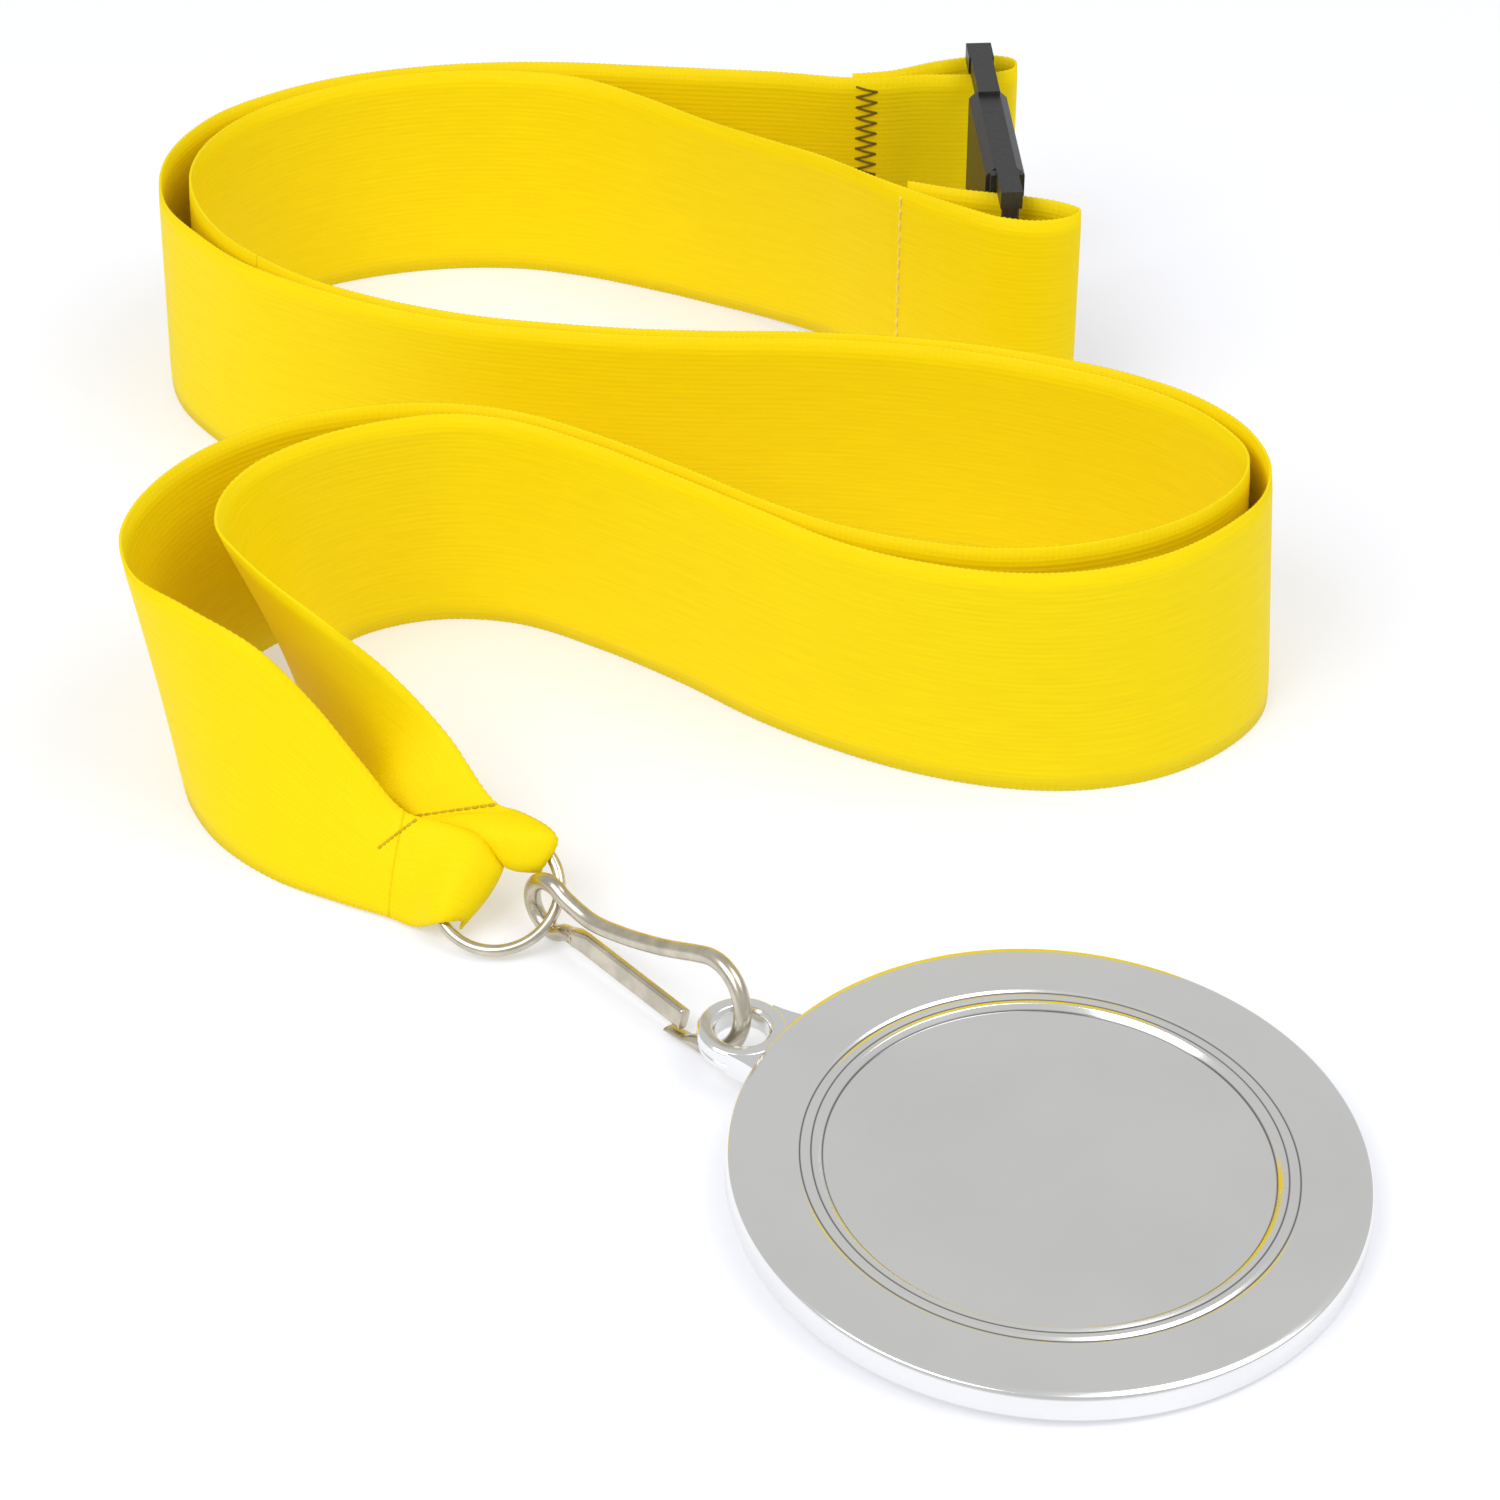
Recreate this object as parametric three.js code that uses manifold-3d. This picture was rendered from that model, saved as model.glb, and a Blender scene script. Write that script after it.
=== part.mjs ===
// Award medal on a neck ribbon, laid down: a cast medal with a lug, a wire snap hook, a ring,
// a satin ribbon in two runs that stand on edge in an S, and a breakaway clasp at the back.
// Units are millimetres, +Z is up, and the floor is z = 0.

import * as THREE from 'three';
import { mergeVertices } from 'three/addons/utils/BufferGeometryUtils.js';
import Module from 'manifold-3d';

const wasm = await Module();
wasm.setup();

// ---- Driving dimensions -------------------------------------------------------------------

const MEDAL_DIAMETER = 55;
const MEDAL_THICKNESS = 3;
const MEDAL_CENTRE = new THREE.Vector3(31, -67, 0);
const LUG_AZIMUTH = 148.5;
const RIBBON_WIDTH = 25;
const RIBBON_THICKNESS = 0.5;
const HOOK_WIRE_RADIUS = 0.8;
const RING_RADIUS = 5.8;
const RING_WIRE_RADIUS = 0.55;
const CLASP_HEIGHT = 29.4;
const CLASP_BAR_SPACING = 32.7;
const GAP = 0.3;

const degrees = THREE.MathUtils.degToRad;
const vec = (x, y, z) => new THREE.Vector3(x, y, z);

// ---- Colours ------------------------------------------------------------------------------

const finish = (color, metalness, roughness) =>
  new THREE.MeshStandardMaterial({ color, metalness, roughness });
const polishedCast = () => finish(0xc4c3c1, 1.0, 0.18);
const nickelWire = () => finish(0xb7b09a, 1.0, 0.3);
const yellowSatin = () => finish(0xf9df08, 0.0, 0.45);
const yellowThread = () => finish(0xe0bd10, 0.0, 0.7);
const blackPlastic = () => finish(0x2b2b2d, 0.0, 0.45);

// ---- Solids -------------------------------------------------------------------------------

function bareGeometry(geometry) {
  const bare = geometry.clone();
  bare.deleteAttribute('normal');
  bare.deleteAttribute('uv');
  return mergeVertices(bare, 1e-4);
}

function toSolid(geometry) {
  const bare = bareGeometry(geometry);
  const vertProperties = new Float32Array(bare.attributes.position.array);
  const triVerts = new Uint32Array(bare.index.array);
  const solid = new wasm.Manifold(new wasm.Mesh({ numProp: 3, vertProperties, triVerts }));
  if (solid.volume() > 0) {
    return solid;
  }
  // The faces point inwards: reversing the index turns them out.
  return new wasm.Manifold(
    new wasm.Mesh({ numProp: 3, vertProperties, triVerts: triVerts.reverse() }));
}

function toGeometry(solid) {
  const mesh = solid.getMesh();
  const geometry = new THREE.BufferGeometry();
  geometry.setAttribute('position', new THREE.BufferAttribute(mesh.vertProperties, 3));
  geometry.setIndex(new THREE.BufferAttribute(mesh.triVerts, 1));
  return geometry;
}

function signedVolume(points, faces) {
  return faces.reduce((sum, [a, b, c]) => {
    const cross = new THREE.Vector3().crossVectors(points[b], points[c]);
    return sum + points[a].dot(cross) / 6;
  }, 0);
}

// Joins rings of equally many points into one closed body with flat ends.
function loft(rings) {
  const sides = rings[0].length;
  const points = rings.flat();
  const faces = [];
  for (let ring = 0; ring < rings.length - 1; ring += 1) {
    for (let side = 0; side < sides; side += 1) {
      const next = (side + 1) % sides;
      const a = ring * sides + side;
      const b = ring * sides + next;
      faces.push([a, b, a + sides], [b, b + sides, a + sides]);
    }
  }
  const last = (rings.length - 1) * sides;
  for (let side = 1; side < sides - 1; side += 1) {
    faces.push([0, side + 1, side], [last, last + side, last + side + 1]);
  }
  const outward = signedVolume(points, faces) > 0;
  const index = faces.flatMap(([a, b, c]) => (outward ? [a, b, c] : [a, c, b]));
  const geometry = new THREE.BufferGeometry();
  const flat = points.flatMap((point) => point.toArray());
  geometry.setAttribute('position', new THREE.Float32BufferAttribute(flat, 3));
  geometry.setIndex(index);
  return geometry;
}

// Sweeps an oval section along a planar path. Each stop is {at, across, through}, where across
// is the half width in the path's plane and through is the half width along the plane's normal.
function planarSweep(stops, normal, sides = 10) {
  const rings = stops.map((stop, i) => {
    const before = stops[Math.max(i - 1, 0)].at;
    const after = stops[Math.min(i + 1, stops.length - 1)].at;
    const along = after.clone().sub(before).normalize();
    const across = new THREE.Vector3().crossVectors(normal, along).normalize();
    return Array.from({ length: sides }, (_, side) => {
      const turn = (2 * Math.PI * (side + 0.5)) / sides;
      return stop.at.clone()
        .addScaledVector(across, stop.across * Math.cos(turn))
        .addScaledVector(normal, stop.through * Math.sin(turn));
    });
  });
  return loft(rings);
}

function box(width, depth, height, x, y, z) {
  return toSolid(new THREE.BoxGeometry(width, depth, height).translate(x, y, z));
}

function named(name, geometry, material) {
  const mesh = new THREE.Mesh(geometry, material);
  mesh.name = name;
  return mesh;
}

// ---- Medal --------------------------------------------------------------------------------

const MEDAL_RADIUS = MEDAL_DIAMETER / 2;
const RECESS_RADIUS = 0.7 * MEDAL_RADIUS;
const RECESS_DEPTH = 0.6;
const BEAD_PITCH = 0.037 * MEDAL_RADIUS;
const LUG_CENTRE = MEDAL_RADIUS + 3.1;
const LUG_RADIUS = 4.0;
const LUG_HOLE_RADIUS = 2.4;
const LUG_DROP = 0.2;
const MEDAL_TILT = degrees(2.2);
const MEDAL_FOOT = MEDAL_RADIUS - 0.4;

// Half of the medal's section, from the middle of the back round to the middle of the face.
function medalProfile() {
  const top = MEDAL_THICKNESS;
  const bead = (count) => RECESS_RADIUS + count * BEAD_PITCH;
  return [
    [0, 0],
    [MEDAL_FOOT, 0],
    [MEDAL_RADIUS, 0.4],
    [MEDAL_RADIUS, top - 0.6],
    [MEDAL_RADIUS - 0.2, top - 0.15],
    [MEDAL_RADIUS - 0.7, top],
    [bead(2.3), top],
    [bead(1.95), top - 0.3],
    [bead(1.5), top + 0.02],
    [bead(1.0), top - 0.25],
    [bead(0.5), top + 0.02],
    [bead(0), top - RECESS_DEPTH],
    [0, top - RECESS_DEPTH],
  ].map(([radius, height]) => new THREE.Vector2(radius, height));
}

function uprightCylinder(radius, low, high, x, segments) {
  const cylinder = new THREE.CylinderGeometry(radius, radius, high - low, segments);
  return toSolid(cylinder.rotateX(Math.PI / 2).translate(x, 0, (low + high) / 2));
}

function lugNeck(top) {
  const outline = new THREE.Shape();
  outline.moveTo(MEDAL_RADIUS - 2.5, -6.2);
  outline.quadraticCurveTo(MEDAL_RADIUS + 0.6, -4.4, LUG_CENTRE - 0.8, -LUG_RADIUS + 0.1);
  outline.lineTo(LUG_CENTRE - 0.8, LUG_RADIUS - 0.1);
  outline.quadraticCurveTo(MEDAL_RADIUS + 0.6, 4.4, MEDAL_RADIUS - 2.5, 6.2);
  outline.closePath();
  return toSolid(new THREE.ExtrudeGeometry(outline,
    { depth: top - 0.3, bevelEnabled: false, curveSegments: 5 }).translate(0, 0, 0.3));
}

// The disc, with +X towards the lug and its back on z = 0.
function medalGeometry() {
  const disc = toSolid(new THREE.LatheGeometry(medalProfile(), 72).rotateX(Math.PI / 2));
  const lugTop = MEDAL_THICKNESS - LUG_DROP;
  const core = uprightCylinder(MEDAL_RADIUS - 1.5, -1, MEDAL_THICKNESS + 1, 0, 72);
  const lug = uprightCylinder(LUG_RADIUS, 0.3, lugTop, LUG_CENTRE, 36)
    .add(lugNeck(lugTop))
    .subtract(core);
  const hole = uprightCylinder(LUG_HOLE_RADIUS, -1, MEDAL_THICKNESS + 1, LUG_CENTRE, 28);
  return toGeometry(disc.add(lug).subtract(hole));
}

// The hook's nose lies under the lug and props it up, so the medal tips about its far edge.
function medalGroup() {
  const medal = named('medal_body', medalGeometry(), polishedCast());
  medal.position.x = MEDAL_FOOT;
  const tipped = new THREE.Group();
  tipped.add(medal);
  tipped.rotation.y = -MEDAL_TILT;
  tipped.position.x = -MEDAL_FOOT;
  const group = new THREE.Group();
  group.add(tipped);
  group.rotation.z = degrees(LUG_AZIMUTH);
  group.position.copy(MEDAL_CENTRE);
  return group;
}

// ---- Ring ---------------------------------------------------------------------------------

const RING_CENTRE = vec(-17.5, -31.2, 4.3);
const RING_TILT = degrees(34);
const RING_HEADING = degrees(-11);

// The ring's own axes: level runs along the floor, uphill climbs away from the medal.
const ringLevel = vec(Math.cos(RING_HEADING), Math.sin(RING_HEADING), 0);
const ringUphill = vec(
  -Math.sin(RING_HEADING) * Math.cos(RING_TILT),
  Math.cos(RING_HEADING) * Math.cos(RING_TILT),
  Math.sin(RING_TILT),
);
const ringNormal = new THREE.Vector3().crossVectors(ringLevel, ringUphill);

function ringPoint(angle, radius = RING_RADIUS) {
  return RING_CENTRE.clone()
    .addScaledVector(ringLevel, radius * Math.cos(angle))
    .addScaledVector(ringUphill, radius * Math.sin(angle));
}

function ringMesh() {
  const torus = new THREE.TorusGeometry(RING_RADIUS, RING_WIRE_RADIUS, 8, 48);
  const axes = new THREE.Matrix4().makeBasis(ringLevel, ringUphill, ringNormal);
  torus.applyMatrix4(axes.setPosition(RING_CENTRE));
  return named('ring', bareGeometry(torus), nickelWire());
}

// ---- Snap hook ----------------------------------------------------------------------------

const RING_IN_EYE = degrees(-12);
const EYE_BEHIND_RING = 0.6;
const HOOK_NOSE_RADIUS = 4.3;
const HOOK_EYE_RADIUS = 2.6;
const HOOK_LEAN = degrees(-14);
const EYE_LEAN = degrees(-3);
const HOOK_LIFT = 0.15;
const GATE_ROOT = 3.9;
const KNEE = 5.2;
const GATE_TIP_BACK = 2.6;
const GATE_HALF_WIDTH = 1.0;
const GATE_HALF_THICKNESS = 0.5;

const lugHole = vec(LUG_CENTRE, 0, 0)
  .applyAxisAngle(vec(0, 0, 1), degrees(LUG_AZIMUTH))
  .add(MEDAL_CENTRE);
const ringInEye = ringPoint(RING_IN_EYE);
const hookHeading = Math.atan2(lugHole.y - ringInEye.y, lugHole.x - ringInEye.x);
const HOOK_EYE = ringInEye.clone().sub(
  vec(Math.cos(hookHeading), Math.sin(hookHeading), 0).multiplyScalar(EYE_BEHIND_RING));
const HOOK_REACH = Math.hypot(lugHole.x - HOOK_EYE.x, lugHole.y - HOOK_EYE.y);
const NOSE_CENTRE = HOOK_REACH - HOOK_NOSE_RADIUS + 0.2;
const NOSE_HEIGHT = HOOK_NOSE_RADIUS * Math.cos(HOOK_LEAN) + HOOK_WIRE_RADIUS + HOOK_LIFT;
const HOOK_TOE = Math.asin((NOSE_HEIGHT - HOOK_EYE.z) / NOSE_CENTRE);

// The hook's own axes: along runs from the eye to the nose, upward crosses the hook. The eye is
// twisted a little out of the hook's plane.
const hookAlong = vec(Math.cos(hookHeading) * Math.cos(HOOK_TOE),
  Math.sin(hookHeading) * Math.cos(HOOK_TOE), Math.sin(HOOK_TOE));
const hookLevel = vec(-Math.sin(hookHeading), Math.cos(hookHeading), 0);
const leaned = (lean) => hookLevel.clone().applyAxisAngle(hookAlong, lean);
const hookNormal = leaned(HOOK_LEAN);
const hookUpward = new THREE.Vector3().crossVectors(hookAlong, hookNormal);
const eyeUpward = new THREE.Vector3().crossVectors(hookAlong, leaned(EYE_LEAN));

function hookPoint(along, upward, upwardAxis = hookUpward) {
  return HOOK_EYE.clone()
    .addScaledVector(hookAlong, along)
    .addScaledVector(upwardAxis, upward);
}

function wireStop(along, upward, upwardAxis) {
  return {
    at: hookPoint(along, upward, upwardAxis),
    across: HOOK_WIRE_RADIUS,
    through: HOOK_WIRE_RADIUS,
  };
}

function arcStops(centre, radius, from, to, steps, upwardAxis) {
  return Array.from({ length: steps + 1 }, (_, i) => {
    const angle = degrees(from + ((to - from) * i) / steps);
    return wireStop(centre + radius * Math.cos(angle), radius * Math.sin(angle), upwardAxis);
  });
}

function flatStop(along, upward, across, through) {
  return { at: hookPoint(along, upward), across, through };
}

// Catch lip, nose, upper arm, eye and the root of the gate, as one bent wire.
function hookBody() {
  const stops = [
    flatStop(NOSE_CENTRE - 4.2, -HOOK_NOSE_RADIUS - 0.25, 0.28, 0.85),
    flatStop(NOSE_CENTRE - 2.0, -HOOK_NOSE_RADIUS - 0.25, 0.3, 0.85),
    flatStop(NOSE_CENTRE - 1.2, -HOOK_NOSE_RADIUS - 0.1, 0.6, 0.8),
    ...arcStops(NOSE_CENTRE, HOOK_NOSE_RADIUS, -92, 100, 16),
    wireStop(NOSE_CENTRE - 2.2, HOOK_NOSE_RADIUS - 0.45),
    wireStop(0.69 * NOSE_CENTRE, 2.5),
    wireStop(0.44 * NOSE_CENTRE, 1.35),
    wireStop(KNEE, 0.95),
    ...arcStops(0, HOOK_EYE_RADIUS, 50, 310, 16, eyeUpward),
    wireStop(GATE_ROOT - GAP, -1.4),
  ];
  return named('hook_body', planarSweep(stops, hookNormal), nickelWire());
}

// The springy, flattened arm of the same wire, which closes on the catch lip.
function hookGate() {
  const tip = -HOOK_NOSE_RADIUS + 0.3 + GATE_HALF_WIDTH;
  const stops = [
    flatStop(GATE_ROOT, -1.4, 0.8, 0.7),
    flatStop(KNEE, -1.45, GATE_HALF_WIDTH, GATE_HALF_THICKNESS),
    flatStop(NOSE_CENTRE - GATE_TIP_BACK, tip, GATE_HALF_WIDTH, GATE_HALF_THICKNESS),
  ];
  return named('hook_gate', planarSweep(stops, hookNormal, 8), nickelWire());
}

// ---- Ribbon -------------------------------------------------------------------------------

const FLOOR_CLEARANCE = 0.1;

// A route is a list of rows, each [x, y] of the lower edge and [x, y] of the upper edge, with
// the lower edge's lift off the floor and the upper edge's height where they aren't the usual.
const row = (low, high, lift = 0, height = RIBBON_WIDTH) => ({
  low: vec(low[0], low[1], lift + FLOOR_CLEARANCE),
  high: vec(high[0], high[1], height),
});

// The run that ends at the clasp's plug: inside the first bend, outside the second.
const plugRun = [
  row([-25.6, -23.4], [-17.6, -24.6], 6.6, 9.2),
  row([-29.2, -20.2], [-22.6, -18.2], 7.2, 12.6),
  row([-32.2, -14.6], [-28.0, -15.8], 3.4, 18.0),
  row([-35.2, -8.2], [-33.6, -15.0], 0.4, 23.0),
  row([-36.8, -2.6], [-38.6, -11.6], 0, 25),
  row([-37.4, 1.8], [-42.4, -6.4]),
  row([-37.6, 5.6], [-44.8, -2.0]),
  row([-37.4, 9.2], [-44.8, 3.4]),
  row([-36.6, 12.2], [-42.2, 9.0]),
  row([-34.6, 15.0], [-36.6, 13.8]),
  row([-30.4, 17.4], [-30.0, 16.8]),
  row([-24.8, 18.6], [-23.6, 18.0]),
  row([-17.6, 17.6], [-17.2, 16.6]),
  row([-9.4, 13.2], [-9.2, 12.2]),
  row([-1.2, 7.4], [-1.0, 6.4]),
  row([6.8, 0.8], [6.8, 0.6]),
  row([14.6, -4.2], [14.4, -4.9]),
  row([22.2, -7.8], [22.0, -8.2]),
  row([30.0, -10.0], [30.0, -9.9]),
  row([37.6, -10.4], [37.4, -9.5]),
  row([45.4, -8.4], [45.0, -6.6]),
  row([51.8, -4.2], [50.6, -2.2]),
  row([56.2, 1.6], [54.8, 3.2]),
  row([57.4, 8.2], [56.0, 9.0]),
  row([55.8, 15.2], [54.4, 15.4]),
  row([51.0, 21.4], [50.0, 21.2]),
  row([44.2, 25.8], [43.6, 25.6]),
  row([36.4, 29.0], [36.2, 28.8]),
  row([28.6, 31.2], [28.6, 31.2]),
  row([20.6, 32.8], [20.6, 32.8]),
  row([11.0, 33.8], [11.0, 33.7]),
  row([1.0, 34.0], [1.0, 33.9]),
  row([-7.0, 34.5], [-7.0, 34.4]),
  row([-15.0, 35.6], [-15.0, 35.5]),
  row([-22.0, 37.0], [-22.0, 36.8]),
  row([-29.0, 39.3], [-29.0, 39.0]),
  row([-35.0, 41.9], [-35.0, 41.6]),
  row([-41.0, 45.3], [-40.8, 45.0]),
  row([-46.5, 49.6], [-46.0, 49.4]),
  row([-51.0, 54.8], [-50.4, 54.5]),
  row([-54.2, 60.8], [-53.6, 60.8]),
  row([-55.6, 67.4], [-55.0, 67.4]),
  row([-54.6, 74.0], [-54.0, 74.0]),
  row([-51.0, 80.2], [-50.6, 80.2]),
  row([-45.4, 85.0], [-45.2, 85.2]),
  row([-37.8, 88.4], [-37.6, 89.2]),
  row([-29.4, 90.2], [-29.4, 91.2]),
  row([-21.0, 90.2], [-21.0, 91.4]),
  row([-13.4, 88.4], [-13.4, 89.6]),
  row([-6.2, 85.6], [-6.2, 85.0]),
  row([0.8, 82.4], [0.6, 79.2], 0, 25.2),
  row([7.6, 78.2], [7.0, 74.2], 0.5, 25.6),
  row([14.0, 73.2], [13.4, 68.6], 1.2, 26.4),
  row([20.0, 67.4], [19.8, 62.4], 2.0, 27.1),
];

// The run that ends at the clasp's socket: outside the first bend, inside the second.
const socketRun = [
  row([-27.2, -29.6], [-26.6, -24.8], 0.3, 8.4),
  row([-32.4, -27.8], [-30.2, -22.6], 0.2, 12.6),
  row([-38.8, -24.4], [-34.6, -20.4], 0, 17.8),
  row([-44.4, -19.2], [-39.6, -18.4], 0, 22.4),
  row([-47.6, -13.8], [-46.2, -15.2], 0, 24.8),
  row([-49.2, -8.6], [-51.6, -10.4]),
  row([-49.4, -3.2], [-53.6, -4.4]),
  row([-48.6, 2.6], [-53.2, 1.0]),
  row([-46.4, 8.6], [-50.8, 7.0]),
  row([-42.4, 14.2], [-46.8, 12.2]),
  row([-36.6, 18.2], [-40.6, 16.8]),
  row([-30.2, 20.4], [-32.6, 19.4]),
  row([-24.4, 20.8], [-24.6, 20.0]),
  row([-16.8, 19.2], [-16.8, 18.2]),
  row([-8.6, 14.6], [-8.4, 13.6]),
  row([-0.4, 8.8], [-0.2, 7.8]),
  row([7.4, 2.4], [7.4, 2.2]),
  row([14.6, -1.8], [14.4, -1.9]),
  row([22.0, -4.4], [21.8, -4.5]),
  row([29.2, -5.7], [29.2, -5.8]),
  row([36.8, -5.2], [36.8, -5.0]),
  row([44.4, -2.7], [44.4, -2.1]),
  row([50.4, 1.6], [49.6, 1.6]),
  row([54.0, 6.6], [53.2, 6.4]),
  row([54.8, 11.6], [54.0, 11.2]),
  row([52.6, 16.4], [51.8, 16.2]),
  row([48.4, 20.9], [47.8, 20.7]),
  row([42.4, 24.8], [42.0, 24.6]),
  row([35.6, 27.6], [35.6, 27.4]),
  row([28.4, 29.9], [28.4, 29.8]),
  row([20.6, 31.6], [20.6, 31.5]),
  row([11.0, 32.6], [11.0, 32.5]),
  row([1.0, 32.8], [1.0, 32.7]),
  row([-7.2, 33.3], [-7.2, 33.2]),
  row([-15.2, 34.4], [-15.2, 34.3]),
  row([-22.3, 35.8], [-22.3, 35.6]),
  row([-29.4, 38.1], [-29.4, 37.8]),
  row([-35.6, 40.8], [-35.6, 40.5]),
  row([-42.0, 44.0], [-41.8, 44.0]),
  row([-48.0, 48.2], [-47.8, 48.2]),
  row([-53.0, 53.4], [-52.6, 53.6]),
  row([-57.2, 60.0], [-56.8, 60.0]),
  row([-59.0, 67.4], [-58.2, 67.2]),
  row([-58.2, 74.4], [-57.2, 74.0]),
  row([-54.4, 81.0], [-53.6, 80.8]),
  row([-48.4, 85.6], [-48.2, 85.6]),
  row([-41.0, 89.0], [-41.0, 89.6]),
  row([-33.0, 91.2], [-33.0, 92.0]),
  row([-25.0, 92.2], [-25.0, 93.2]),
  row([-16.0, 92.3], [-16.0, 93.4]),
  row([-7.0, 91.6], [-7.0, 92.6]),
  row([1.0, 90.7], [1.0, 91.2], 0, 25.3),
  row([9.0, 89.5], [9.0, 89.0], 0.8, 26.0),
  row([16.0, 88.2], [16.0, 86.2], 1.7, 26.8),
  row([19.4, 87.6], [19.4, 85.4], 2.1, 27.1),
];

const HEM_SEAM = 20.4;
const HEM_STRAIGHTENS = 9;
const HEM_LIFT = 2.2;
const HEM_TOP = 27.1;

// Hem loops, from the seam along the face nearer the medal, round the end and back. The seam
// leans with the ribbon, and the loop straightens by the time it reaches the clasp's bar.
const hemRow = ([x, y], lean) => {
  const share = Math.max(0, 1 - (x - HEM_SEAM) / HEM_STRAIGHTENS);
  return row([x, y + lean * share], [x, y], HEM_LIFT, HEM_TOP);
};
const plugHem = [
  [20.6, 61.0], [24.0, 58.9], [28.0, 56.2], [32.1, 53.8], [36.2, 53.0], [39.4, 53.9],
  [40.6, 55.4], [38.6, 57.0], [34.4, 58.4], [28.1, 59.8], [22.4, 61.7],
].map((point) => hemRow(point, 3.0));
const socketHem = [
  [20.4, 85.4], [24.7, 86.2], [29.2, 86.3], [33.0, 86.8], [35.4, 88.0],
  [35.4, 90.0], [33.3, 90.9], [27.1, 89.6], [22.6, 87.6],
].map((point) => hemRow(point, 1.6));

function edgeCurves(rows) {
  return {
    low: new THREE.CatmullRomCurve3(rows.map((entry) => entry.low), false, 'centripetal'),
    high: new THREE.CatmullRomCurve3(rows.map((entry) => entry.high), false, 'centripetal'),
  };
}

// A closed strip between two edge curves, from share t0 to share t1 of their length.
function strip(rows, t0, t1, steps) {
  const { low, high } = edgeCurves(rows);
  const half = RIBBON_THICKNESS / 2;
  const rings = Array.from({ length: steps + 1 }, (_, i) => {
    const t = t0 + ((t1 - t0) * i) / steps;
    const foot = low.getPoint(t);
    const head = high.getPoint(t);
    const rise = head.clone().sub(foot);
    const footOut = low.getTangent(t).cross(rise).normalize().multiplyScalar(half);
    const headOut = high.getTangent(t).cross(rise).normalize().multiplyScalar(half);
    return [
      foot.clone().sub(footOut),
      foot.clone().add(footOut),
      head.clone().add(headOut),
      head.clone().sub(headOut),
    ];
  });
  return loft(rings);
}

const STRETCH_TRIM = 0.03;

// Stretches of one run between row numbers, trimmed by a share of a row where they meet.
function stretches(rows, prefix, cuts) {
  const spans = rows.length - 1;
  const trim = STRETCH_TRIM / spans;
  return cuts.slice(1).map(([name, end], i) => {
    const start = cuts[i][1];
    const geometry = strip(rows, start / spans + trim, end / spans - trim, 2 * (end - start));
    return named(`${prefix}_${name}`, geometry, yellowSatin());
  });
}

function ribbonRuns() {
  return [
    ...stretches(plugRun, 'plug_run', [
      ['fold', 0], ['panel', 4], ['near_bend', 10], ['front_pass', 17], ['side_bend_front', 23],
      ['side_bend_rear', 28], ['middle_pass', 36], ['far_bend_front', 41],
      ['far_bend_rear', 46], ['back_pass', 53],
    ]),
    ...stretches(socketRun, 'socket_run', [
      ['fold', 0], ['panel', 4], ['near_bend', 11], ['front_pass', 18], ['side_bend_front', 24],
      ['side_bend_rear', 29], ['middle_pass', 37], ['far_bend_front', 42],
      ['far_bend_rear', 47], ['back_pass', 54],
    ]),
  ];
}

function hem(name, rows) {
  return named(name, strip(rows, 0.01, 0.99, 3 * (rows.length - 1)), yellowSatin());
}

// ---- Fold round the ring ------------------------------------------------------------------

const FOLD_ANGLE = degrees(140);
const FOLD_HALF_ARC = degrees(22);
const FOLD_INNER_RADIUS = 1.2;
const FOLD_TURNS = [-90, -130, -180, -230, -270].map(degrees);
const FOLD_GAP_SHARE = 0.1;

// A section of the fold at a turn about the ring's wire: its outer face, then its inner face.
function foldSection(turn) {
  const face = (radius) => [1, 0, -1].map((share) => {
    const wire = ringPoint(FOLD_ANGLE + share * FOLD_HALF_ARC);
    const outward = wire.clone().sub(RING_CENTRE).normalize();
    return wire
      .addScaledVector(outward, radius * Math.cos(turn))
      .addScaledVector(ringNormal, radius * Math.sin(turn));
  });
  const outer = face(FOLD_INNER_RADIUS + RIBBON_THICKNESS);
  return [...outer, ...face(FOLD_INNER_RADIUS).reverse()];
}

// The fold's end section, a little short of the first row of a run.
function foldEnd(end, side) {
  const root = ringPoint(FOLD_ANGLE);
  const middle = end.low.clone().lerp(end.high, 0.5);
  const line = [end.low, middle, end.high].map((point) => (
    point.clone().lerp(root, FOLD_GAP_SHARE)));
  const face = (away) => line.map((point) => (
    point.clone().addScaledVector(ringNormal, away * RIBBON_THICKNESS / 2)));
  return [...face(side), ...face(-side).reverse()];
}

// The ribbon comes in under the ring from the plug's run, turns round the wire inside the
// ring, and goes out over it as the socket's run.
function ribbonFold() {
  const sections = [
    foldEnd(plugRun[0], -1),
    ...FOLD_TURNS.map(foldSection),
    foldEnd(socketRun[0], 1),
  ];
  return named('ribbon_fold', loft(sections), yellowSatin());
}

// ---- Stitching ----------------------------------------------------------------------------

const THREAD_RADIUS = 0.15;
const SEAM_MARGIN = 0.06;

// A zigzag of thread up the ribbon's face, beside the given share of a route.
function stitching(name, rows, share, side, zigzag, stitches) {
  const { low, high } = edgeCurves(rows);
  const foot = low.getPoint(share);
  const rise = high.getPoint(share).sub(foot);
  const along = low.getTangent(share);
  const outward = along.clone().cross(rise).normalize().multiplyScalar(side);
  const clear = RIBBON_THICKNESS / 2 + GAP + THREAD_RADIUS;
  const stops = Array.from({ length: stitches + 1 }, (_, i) => ({
    at: foot.clone()
      .addScaledVector(rise, SEAM_MARGIN + ((1 - 2 * SEAM_MARGIN) * i) / stitches)
      .addScaledVector(along, i % 2 ? zigzag : -zigzag)
      .addScaledVector(outward, clear),
    across: THREAD_RADIUS,
    through: THREAD_RADIUS,
  }));
  return named(name, planarSweep(stops, outward, 6), yellowThread());
}

// ---- Breakaway clasp ----------------------------------------------------------------------

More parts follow.
